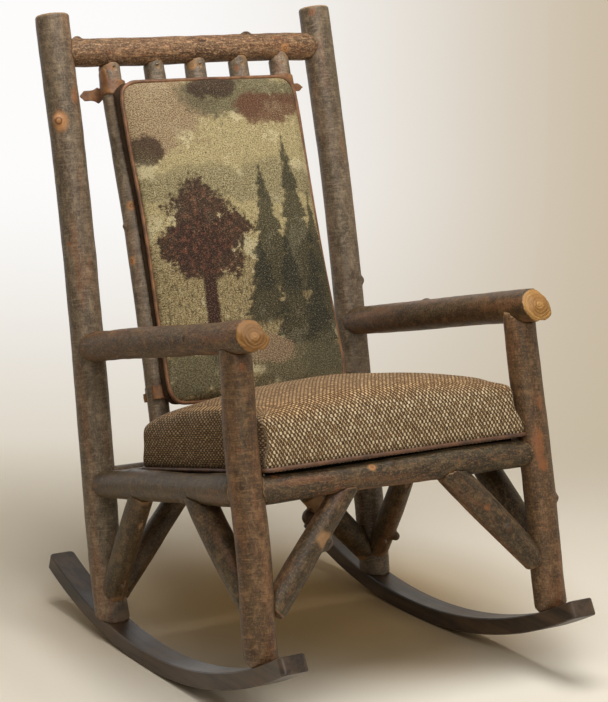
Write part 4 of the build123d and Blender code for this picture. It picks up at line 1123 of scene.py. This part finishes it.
@dataclass
class SeatCushion:
    """The tight upholstered seat: basket cloth drawn over foam, with a leather welt at its foot."""

    half_width: float = 0.2506
    front: float = -0.012
    back: float = 0.430
    foot: float = 0.306
    height: float = 0.132
    clear: float = 0.0012
    roll_rounds: int = 70
    voxel: float = 0.006
    cap: float = 0.007
    rim: float = 0.405
    edge_round: float = 0.012
    soft_band: tuple[float, float] = (0.006, 0.04)
    free_band: tuple[float, float] = (0.006, 0.045)
    roll_spread: float = 0.25
    corner_fill: tuple[float, float] = (0.008, 0.009)
    corner_out: float = 0.004
    corner_lift: float = 0.014
    side_swell: tuple[float, float] = (0.013, 0.005)
    lip_fill: float = 0.018
    back_slack: float = 0.013
    front_belly: float = 0.006
    dimple: float = 0.0014
    sink: float = 0.006
    foot_out: float = 0.004
    corner: float = 0.024
    welt_radius: float = 0.0036
    welt_height: float = 0.0065
    welt_drop: float = 0.0074
    # A dark strip under the seat's front, set by these three fields, is painted shade for the shadow gap
    # there.
    shade_strip_inset: float = 0.008
    shade_strip_size: tuple[float, float] = (0.012, 0.02)
    shade_strip_middle: tuple[float, float] = (0.012, -0.006)

    def build(self) -> Piece:
        """Builds the cushion and its welt, and returns the cushion."""
        piece = hull_of("seat_cushion", "seat_cover")
        remesh(piece, self.voxel)
        sharp = points_of(piece.data)
        relax(piece, 9)
        place = SQUARE.inside(sharp)
        soft = smooth_step(place[:, 2], *(self.foot + up for up in self.soft_band))[:, None]
        move_points(piece.data, sharp * (1 - soft) + points_of(piece.data) * soft)
        place = SQUARE.inside(points_of(piece.data))
        free = smooth_step(place[:, 2], *(self.foot + up for up in self.free_band))
        puff(piece, self.cap, free)
        self.shape(piece)
        self.roll_front(piece)
        relax(piece, 2)
        self.lay_cloth(piece)
        soften(piece)
        finish_piece(piece, TweedFinish().make(), "tweed", "seat_cover", "seat_foam")
        self.build_welt(piece)
        self.build_shade_strip()
        return piece

    def build_shade_strip(self) -> None:
        """Builds a near-black cloth strip between the cushion's foot and the front rail: painted shade for the
        shadow gap under the seat's front.
        """
        bm = bmesh.new()
        bmesh.ops.create_cube(bm, size=1.0)
        bmesh.ops.bevel(bm, geom=bm.edges[:], offset=0.1, offset_type="PERCENT", segments=2, profile=0.5,
                        affect="EDGES", material=-1)
        half = self.half_width - self.shade_strip_inset
        (deep, tall), (s, h) = self.shade_strip_size, self.shade_strip_middle
        for vert in bm.verts:
            x, y, z = vert.co
            vert.co = SQUARE.at(x * 2 * half, s + y * deep, self.foot + h + z * tall)
        shade_strip = new_piece("seat_shade_strip", bm)
        # Painted shade: the strip is near-black cloth, not a dust cover.
        shade_strip_cloth = PlainClothFinish("shade_strip_cloth", tone(30, 27, 24), tone(14, 13, 12))
        finish_piece(shade_strip, shade_strip_cloth.make(), "dust_cloth")

    def shape(self, piece: Piece) -> None:
        """Fills the corners, lets the sides swell between the posts and lays the foot on the front rail."""
        p = SQUARE.inside(points_of(piece.data))
        middle = (self.front + self.back) / 2
        p[:, 0] *= self.half_width / np.abs(p[:, 0]).max()
        low, high = p[:, 1].min(), p[:, 1].max()
        p[:, 1] = self.front + (p[:, 1] - low) * (self.back - self.front) / (high - low)
        p[:, 2] = self.foot + (p[:, 2] - self.foot) * self.height / (p[:, 2].max() - self.foot)
        side = np.clip(np.abs(p[:, 0]) / self.half_width, 0, 1)
        fore = np.clip((middle - p[:, 1]) / (middle - self.front), 0, 1)
        top = smooth_step(p[:, 2], self.foot + 0.05, self.foot + 0.11)
        corner = smooth_step(side, 0.82, 0.97) * smooth_step(-p[:, 1], -0.035, -0.004)
        p[:, 0] += np.sign(p[:, 0]) * corner * (self.corner_fill[0] + self.corner_fill[1] * top)
        p[:, 1] -= self.corner_out * corner
        belly = np.sin(np.pi * np.clip((p[:, 2] - self.foot) / 0.11, 0, 1))
        between = smooth_step(p[:, 1], 0.03, 0.09)
        lip = smooth_step(-p[:, 1], 0.001, 0.012)
        swell = between * (self.side_swell[0] + self.side_swell[1] * belly)
        p[:, 0] += np.sign(p[:, 0]) * side**5 * (swell + lip * self.lip_fill)
        p[:, 1] += self.back_slack * smooth_step(p[:, 1], 0.30, 0.43)
        p[:, 1] -= self.front_belly * fore**6 * belly
        p[:, 2] += self.corner_lift * top * side**3 * (0.35 + 0.65 * fore**2)
        p[:, 2] += self.dimple * np.sin(p[:, 0] * 31 + 1) * np.sin(p[:, 1] * 27 + 2) * top
        sunk = smooth_step(-p[:, 2], -self.foot - 0.012, -self.foot)
        p[:, 2] -= self.sink * smooth_step(-p[:, 1], -0.05, 0.0) * sunk
        band = smooth_step(p[:, 2], self.foot - 0.008, self.foot - 0.002)
        band = band * smooth_step(-p[:, 2], -self.foot - 0.06, -self.foot - 0.03)
        p[:, 1] -= self.foot_out * band * smooth_step(-p[:, 1], -0.006, 0.004)
        limit = self.half_width + 0.0062 + 0.0125 * between + 0.012 * lip
        p[:, 0] = np.clip(p[:, 0], -limit, limit)
        for post in ("front_post_left", "front_post_right"):
            bark = SQUARE.inside(points_of(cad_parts[post].data))
            bark = bark[(bark[:, 2] > self.foot + 0.03) & (bark[:, 2] < self.foot + 0.11)]
            centre, radius = LogPiece.fit_circle(bark[:, :2])
            log.info("%s at the seat: %s, radius %.4f", post, centre.round(4), radius)
            way = p[:, :2] - centre
            off = np.maximum(np.linalg.norm(way, axis=1), 1e-6)
            near = (off < radius + self.clear) & (p[:, 2] > self.foot - 0.004)
            p[near, :2] = centre + way[near] / off[near, None] * (radius + self.clear)
        move_points(piece.data, SQUARE.outside(p))

    def roll_front(self, piece: Piece) -> None:
        """Turns the front top edge into a long soft roll, firmer towards the corners."""
        firm = points_of(piece.data)
        relax(piece, self.roll_rounds)
        place = SQUARE.inside(firm)
        side = np.clip(np.abs(place[:, 0]) / self.half_width, 0, 1)
        weight = (1 - side**8) * smooth_step(-place[:, 1], -0.22, -0.08)
        weight *= smooth_step(place[:, 2], self.foot + 0.014, self.foot + 0.07)
        change = (points_of(piece.data) - firm) * weight[:, None]
        change[:, 0] *= self.roll_spread
        move_points(piece.data, firm + change)

    def lay_cloth(self, piece: Piece) -> None:
        """Stores the cloth's coordinate, which runs over the edge and down, and where crown and sides are."""
        p = SQUARE.inside(points_of(piece.data))
        normals = points_of(piece.data, "normal")
        flat = SQUARE.inside(normals + np.array(SQUARE.origin))
        middle = (self.front + self.back) / 2
        edge_x = self.half_width - self.edge_round
        edge_s = (self.back - self.front) / 2 - self.edge_round
        drop = np.maximum(0.0, self.rim - p[:, 2])
        across = flat[:, 0] ** 2
        share = across / np.maximum(across + flat[:, 1] ** 2, 1e-6)
        share = smooth_step(share, 0.35, 0.65)
        s = p[:, 1] - middle
        x = np.clip(p[:, 0], -edge_x, edge_x) + np.sign(p[:, 0]) * drop * share
        v = np.clip(s, -edge_s, edge_s) + np.sign(s) * drop * (1 - share)
        x += (p[:, 0] - np.clip(p[:, 0], -edge_x, edge_x)) * (1 - share)
        v += (s - np.clip(s, -edge_s, edge_s)) * share
        write_attribute(piece.data, "cloth_co", np.stack([x, v, np.zeros(len(x))], axis=1))
        # crown marks where the cloth faces up, which gets the seat's painted top light.
        write_attribute(piece.data, "crown", smooth_step(flat[:, 2], 0.1, 1.0))
        # side marks the seat's sides, where the picks get painted shade.
        write_attribute(piece.data, "side", share * (1 - smooth_step(flat[:, 2], 0.5, 0.9)))

    def build_welt(self, piece: Piece) -> None:
        """Builds the leather welt along the foot of the cushion."""
        tree = BVHTree.FromObject(piece, bpy.context.evaluated_depsgraph_get())
        path = []
        middle = (self.front + self.back) / 2
        half_s = (self.back - self.front) / 2
        for x, s, nx, ns in rounded_path(self.half_width, half_s, self.corner):
            outward = SQUARE.direction(nx, ns, 0)
            hit = outer_hit(tree, SQUARE.at(x, middle + s, self.foot + self.welt_height), outward)
            path.append(hit + outward * self.welt_radius * 0.5 - SQUARE.direction(0, 0, 1) * self.welt_drop)
        welt = tube("seat_welt_cord", path, self.welt_radius)
        leather = LeatherFinish("seat_welt_leather", tone(112, 76, 52), tone(64, 42, 28))
        finish_piece(welt, leather.make(), "leather", "seat_welt")


def rounded_path(
    half_x: float, half_y: float, corner: float, step: float = 0.008, steps_round: int = 8
) -> list[tuple[float, float, float, float]]:
    """Returns (x, y, outward x, outward y) along a rounded rectangle about the origin."""
    out = []
    for turn in range(4):
        angle = turn * math.pi / 2
        c, s = round(math.cos(angle)), round(math.sin(angle))
        a, b = (half_x, half_y) if turn % 2 == 0 else (half_y, half_x)
        run = 2 * (b - corner)
        count = max(2, int(run / step))
        side = [(a, -b + corner + run * k / count, 0.0) for k in range(count)]
        arc = [(a - corner + corner * math.cos(t), b - corner + corner * math.sin(t), t)
               for t in (math.pi / 2 * k / steps_round for k in range(steps_round))]
        for x, y, t in side + arc:
            nx, ny = math.cos(t), math.sin(t)
            out.append((x * c - y * s, x * s + y * c, nx * c - ny * s, nx * s + ny * c))
    return out


@dataclass
class BackCushion:
    """The tied back cushion: a tapestry front, a dark boxing, a welt between them and a plain back."""

    half_width: float = 0.181
    half_height: float = 0.2975
    corner: float = 0.027
    origin_s: float = 0.51131
    origin_h: float = 0.70799
    slope: tuple[float, float] = (0.10075, 0.99491)
    edge: float = 0.0245
    spread: tuple[float, float] = (0.003, 0.004)
    fuller_right: float = 0.010
    narrower_left: float = 0.011
    thicker: float = 0.008
    voxel: float = 0.006
    cap: float = 0.008
    welt_radius: float = 0.0038

    def place(self, x: float, v: float, n: float) -> Vector:
        """Returns the world place of a point of the cushion's own plane: across, up it and out of it."""
        run, rise = self.slope
        return SQUARE.at(x, self.origin_s + v * run - n * rise, self.origin_h + v * rise + n * run)

    def inside(self, points: np.ndarray) -> np.ndarray:
        """Returns points as (across, up, out) of the cushion's own plane."""
        run, rise = self.slope
        p = SQUARE.inside(points)
        s, h = p[:, 1] - self.origin_s, p[:, 2] - self.origin_h
        return np.stack([p[:, 0], s * run + h * rise, -s * rise + h * run], axis=1)

    def build(self) -> Piece:
        """Builds the cushion, its welt and its back, and returns the cushion."""
        piece = hull_of("back_cushion", "cushion_cloth", "cushion_backing")
        remesh(piece, self.voxel)
        relax(piece, 3)
        p = self.inside(points_of(piece.data))
        free = smooth_step(p[:, 2], 0.004, 0.012)
        puff(piece, self.cap, free)
        relax(piece, 2)
        p = self.shape(piece)
        write_attribute(piece.data, "cloth_co", np.stack([p[:, 0], p[:, 1], np.zeros(len(p))], axis=1))
        piece.data.materials.append(TapestryFinish().make())
        soften(piece)
        tapestry = piece.data.materials[0]
        finish_piece(piece, tapestry, "tapestry", "cushion_cloth", "cushion_filling", "cushion_backing")
        boxing = PlainClothFinish("boxing_cloth", tone(84, 64, 46), tone(40, 30, 22)).make()
        piece.data.materials.append(boxing)
        index = np.zeros(len(piece.data.polygons), dtype=np.int32)
        for k, polygon in enumerate(piece.data.polygons):
            out = sum(p[v, 2] for v in polygon.vertices) / len(polygon.vertices)
            index[k] = 0 if out > self.edge + 0.0005 else 1
        piece.data.polygons.foreach_set("material_index", index)
        self.build_welt(piece)
        return piece

    def shape(self, piece: Piece) -> np.ndarray:
        """Brings the cushion back to its breadth, fuller at its lower right, and returns its coordinates."""
        p = self.inside(points_of(piece.data))
        p[:, 0] *= (self.half_width + self.spread[0]) / np.abs(p[:, 0]).max()
        low, high = p[:, 1].min(), p[:, 1].max()
        p[:, 1] = (p[:, 1] - (low + high) / 2) * 2 * (self.half_height + self.spread[1]) / (high - low)
        lower = smooth_step(-p[:, 1], -0.06, 0.26)
        right = np.clip(p[:, 0] / self.half_width, 0, 1) ** 2
        left = np.clip(-p[:, 0] / self.half_width, 0, 1) ** 2
        thick = smooth_step(p[:, 2], 0.004, 0.024)
        upper = smooth_step(p[:, 1], 0.04, 0.28)
        p[:, 0] += self.fuller_right * lower * right - self.narrower_left * left * upper
        p[:, 2] += self.thicker * lower * (0.3 + 0.7 * right) * thick
        run, rise = self.slope
        s = self.origin_s + p[:, 1] * run - p[:, 2] * rise
        h = self.origin_h + p[:, 1] * rise + p[:, 2] * run
        move_points(piece.data, SQUARE.outside(np.stack([p[:, 0], s, h], axis=1)))
        return p

    def build_welt(self, piece: Piece) -> None:
        """Builds the leather welt round the front edge."""
        tree = BVHTree.FromObject(piece, bpy.context.evaluated_depsgraph_get())
        path = []
        for k, (x, v, nx, nv) in enumerate(rounded_path(self.half_width, self.half_height, self.corner)):
            target = self.place(x, v, self.edge + 0.001 * math.sin(k * 0.21))
            way = (self.place(nx, nv, 0) - self.place(0, 0, 0)).normalized()
            path.append(outer_hit(tree, target, way) + way * self.welt_radius * 0.6)
        welt = tube("cushion_welt_cord", path, self.welt_radius)
        leather = LeatherFinish("cushion_welt_leather", tone(140, 98, 64), tone(88, 56, 34))
        finish_piece(welt, leather.make(), "leather", "cushion_welt")


# --------------------------------------------------------------------------------------------------
# Ties, rockers and the pieces that keep their own form


@dataclass
class LeatherTie:
    """A leather thong round a spindle: a flat band, a knot and a tail."""

    name: str
    rise: float = 0.0
    tail: float = 1.0
    reach: float = 0.034
    neck: float = 0.0
    voxel: float = 0.0014
    neck_width: float = 0.006
    tail_out: float = 0.002
    uneven: tuple[float, float] = (0.0008, 0.0009)

    def build(self) -> Piece:
        """Builds the tie from its solid, with softened edges, its tail cut or spread, and uneven."""
        piece = new_piece("leather_" + self.name, merged_copy(self.name))
        remesh(piece, self.voxel)
        relax(piece, 2)
        places = points_of(piece.data)
        outer = np.abs(places[:, 0])
        start = outer.max() - self.reach
        loose = smooth_step(outer, start, start + 0.01)
        if self.tail < 1:
            places[:, 0] = np.sign(places[:, 0]) * np.minimum(outer, start + (outer - start) * self.tail)
        else:
            middle = places[outer > start + self.neck_width].mean(0)
            neck = np.exp(-(((outer - start + 0.001) / self.neck_width) ** 2)) * (outer > start - 0.012)
            places[:, 2] += (loose * (self.tail - 1) + neck * self.neck) * (places[:, 2] - middle[2])
            places[:, 0] += np.sign(places[:, 0]) * loose * self.tail_out
        places += np.array(SQUARE.direction(0, 0.1 * self.rise, self.rise))
        for k, place in enumerate(places):
            places[k, 2] += self.uneven[1] * noise.noise(Vector(place) * 55)
            places[k, 1] += self.uneven[0] * noise.noise(Vector(place) * 70)
        move_points(piece.data, places)
        round_off(piece)
        leather = LeatherFinish("leather_" + self.name, tone(156, 112, 72), tone(100, 64, 38), 0.46)
        finish_piece(piece, leather.make(), "leather", self.name)
        return piece


class KeptNodes:
    """CAD nodes that keep their own form and get a finish."""

    def dress(self) -> None:
        """Dresses the rockers, the board, the cleats, the dust cover and the fasteners."""
        worn = tone(118, 92, 66)
        stain = StainFinish("rocker_stain", tone(80, 61, 44), tone(33, 24, 16), roughness=0.42, wear=worn)
        # Painted shade: the seat board and its cleats get a dark wood colour for the shade under the seat.
        board = StainFinish("board_painted_shade", tone(60, 46, 34), tone(34, 26, 20), roughness=0.6)
        cloth = PlainClothFinish("dust_cloth", tone(34, 33, 32), tone(16, 16, 16))
        for finish, nodes in (
            (stain, ("rocker_left", "rocker_right")),
            (board, ("seat_board", "seat_cleat_left", "seat_cleat_right")),
            (cloth, ("seat_dust_cover",)),
            (SteelFinish(), ("rocker_lags", "brace_screws", "board_screws", "cleat_screws", "spindle_nails")),
        ):
            made = finish.make()
            for node in nodes:
                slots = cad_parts[node].data.materials
                slots.clear()
                slots.append(made)
                log.info("%s: kept, %s", node, made.name)


# --------------------------------------------------------------------------------------------------
# Studio


@dataclass
class Studio:
    """A pale seamless sweep, soft lights and the camera."""

    eye: tuple[float, float, float] = (-1.91196, -3.2439, 1.2729)
    azimuth: float = math.radians(30.54)
    elevation: float = math.radians(10.94)
    lens: float = 127.42
    sweep_start: float = 1.9
    sweep_radius: float = 1.3
    sweep_half: float = 4.5
    sweep_shift: float = 1.7
    sweep_stretch: float = 1.4
    eye_away: float = 3.77
    eye_height: float = 1.273
    lamps: tuple = (
        ("key", (-1.0, -2.4, 2.0), 1.0, 20.0, (1.0, 0.985, 0.96)),
        ("top", (-0.05, -0.7, 2.7), 1.5, 50.0, (1.0, 0.985, 0.965)),
        ("fill", (2.6, -1.6, 1.2), 1.8, 5.0, (1.0, 0.94, 0.86)),
    )

    def build(self) -> None:
        """Builds the sweep, the world, the lights and the camera."""
        scene = bpy.context.scene
        scene.view_settings.view_transform = "Standard"
        self.build_sweep()
        self.build_world()
        for name, place, size, power, colour in self.lamps:
            self.light(name, place, size, power, colour)
        camera = bpy.data.cameras.new("camera")
        camera.sensor_fit = "HORIZONTAL"
        camera.sensor_width = 36.0
        camera.lens = self.lens
        camera.clip_end = 60.0
        holder = bpy.data.objects.new("camera", camera)
        scene.collection.objects.link(holder)
        turn = Matrix.Rotation(-self.azimuth, 4, "Z") @ Matrix.Rotation(math.pi / 2 - self.elevation, 4, "X")
        holder.matrix_world = Matrix.Translation(self.eye) @ turn
        scene.camera = holder

    def light(self, name: str, place: Sequence[float], size: float, power: float, colour: Colour) -> None:
        """Adds a soft square light aimed at the chair's middle."""
        lamp = bpy.data.lights.new(name, "AREA")
        lamp.size = size
        lamp.energy = power
        lamp.color = colour
        holder = bpy.data.objects.new(name, lamp)
        bpy.context.scene.collection.objects.link(holder)
        way = Vector((0, 0, 0.5)) - Vector(place)
        holder.matrix_world = Matrix.Translation(place) @ way.to_track_quat("-Z", "Y").to_matrix().to_4x4()

    def build_sweep(self) -> None:
        """Adds the paper sweep: a floor that curves up into a wall, square to the view."""
        bm = bmesh.new()
        bmesh.ops.create_grid(bm, x_segments=6, y_segments=80, size=self.sweep_half)
        turn = Matrix.Rotation(-self.azimuth, 3, "Z")
        for vert in bm.verts:
            run = vert.co.y + self.sweep_shift
            bend = max(0.0, run - self.sweep_start)
            angle = min(bend / self.sweep_radius, math.pi / 2)
            rise = max(0.0, bend - self.sweep_radius * math.pi / 2)
            back = min(run, self.sweep_start) + self.sweep_radius * math.sin(angle)
            height = self.sweep_radius * (1 - math.cos(angle)) + rise
            vert.co = turn @ Vector((vert.co.x * self.sweep_stretch, back, height))
        sweep = new_piece("sweep", bm)
        round_off(sweep)
        sweep.data.materials.append(self.paper())

    def paper(self) -> Material:
        """Returns the sweep's material: lit paper near the chair with painted shadow pools, a painted glow
        beyond that grades from white to tan and darkens low down, clear from behind.
        """
        made, g, shader = material("studio_paper")
        place = g.add("TexCoord").outputs["Object"]
        c, n = math.cos(self.azimuth), math.sin(self.azimuth)
        across = g.add("VectorMath", {0: place, 1: (c, -n, 0)}, operation="DOT_PRODUCT").outputs["Value"]
        away = g.add("VectorMath", {0: place, 1: (n, c, 0)}, operation="DOT_PRODUCT").outputs["Value"]
        height = g.add("SeparateXYZ", {0: place}).outputs[2]
        span = g.plus(away, self.eye_away)
        side = g.over(across, span)
        fall = g.over(g.minus(self.eye_height, height), span)

        def painted_shadow(u: float, w: float, reach_u: float, reach_w: float):
            """Returns a soft round mask on the floor, where a shadow is painted."""
            a = g.over(g.minus(across, u), reach_u)
            b = g.over(g.minus(away, w), reach_w)
            off = g.distance(a, b)
            return g.step(off, 1.0, 0.15)

        # Painted light: the far sweep's glow runs from white on the left to tan on the right, and is darker
        # low down as painted shade.
        slope = g.step(side, -0.16, 0.17)
        glow = g.mix(g.times(slope, slope), tone(253, 252, 251), tone(201, 186, 162))
        low = g.step(fall, 0.10, 0.27)
        glow = g.mix(g.times(low, 0.8), glow, g.mix(slope, tone(208, 196, 174), tone(196, 183, 160)))
        floor = g.mix(g.step(side, -0.12, 0.12), tone(248, 241, 226), tone(252, 246, 232))
        # Painted shadow: two warm, dark pools on the floor under and behind the chair, laid over its cast
        # shadow.
        floor = g.mix(g.times(painted_shadow(0.0, 0.22, 0.62, 0.6), 0.8), floor, tone(190, 152, 78))
        floor = g.mix(g.times(painted_shadow(0.2, 0.0, 0.34, 0.24), 0.45), floor, tone(176, 140, 76))
        g.feed(shader.inputs["Base Color"], floor)
        shader.inputs["Roughness"].default_value = 0.9
        shader.inputs["Specular IOR Level"].default_value = 0.15
        rays = g.add("LightPath").outputs
        seen = g.math("MAXIMUM", rays["Is Camera Ray"], rays["Is Glossy Ray"])
        # Beyond the chair, the camera and reflections see the painted glow in place of lit paper.
        far = g.times(g.step(away, 0.75, 1.75), seen)
        lamp = g.add("Emission", {"Color": glow, "Strength": 1.0})
        mixed = g.add("MixShader", {0: far, 1: shader.outputs[0], 2: lamp.outputs[0]})
        behind = g.add("NewGeometry").outputs["Backfacing"]
        opened = g.add("MixShader", {0: behind, 1: mixed.outputs[0], 2: g.add("BsdfTransparent").outputs[0]})
        g.feed(made.node_tree.nodes["Material Output"].inputs["Surface"], opened.outputs[0])
        return made

    def build_world(self) -> None:
        """Sets a low warm ambient, with a pale surround where it is seen or mirrored."""
        world = bpy.data.worlds.new("studio")
        bpy.context.scene.world = world
        world.use_nodes = True
        g = Graph(world.node_tree)
        ambient = world.node_tree.nodes["Background"]
        ambient.inputs["Color"].default_value = (1.0, 0.82, 0.60, 1)
        ambient.inputs["Strength"].default_value = 0.16
        around = g.add("Background", {"Color": tone(238, 234, 228), "Strength": 0.9})
        rays = g.add("LightPath").outputs
        seen = g.math("MAXIMUM", rays["Is Camera Ray"], rays["Is Transmission Ray"])
        seen = g.math("MAXIMUM", seen, g.times(rays["Is Glossy Ray"], 0.6))
        mixed = g.add("MixShader", {0: seen, 1: ambient.outputs[0], 2: around.outputs[0]})
        g.feed(world.node_tree.nodes["World Output"].inputs["Surface"], mixed.outputs[0])


def main() -> None:
    """Builds the chair's looks in order."""
    logging.basicConfig(level=logging.INFO, format="%(name)s %(message)s")
    for piece in log_pieces():
        piece.build()
    SeatCushion().build()
    BackCushion().build()
    LeatherTie("tie_top_left", rise=0.009, tail=1.3, neck=1.0).build()
    LeatherTie("tie_top_right", rise=0.009).build()
    LeatherTie("tie_bottom_left", tail=0.1, reach=0.04).build()
    LeatherTie("tie_bottom_right").build()
    KeptNodes().dress()
    Studio().build()


if __name__ == "__main__":
    main()
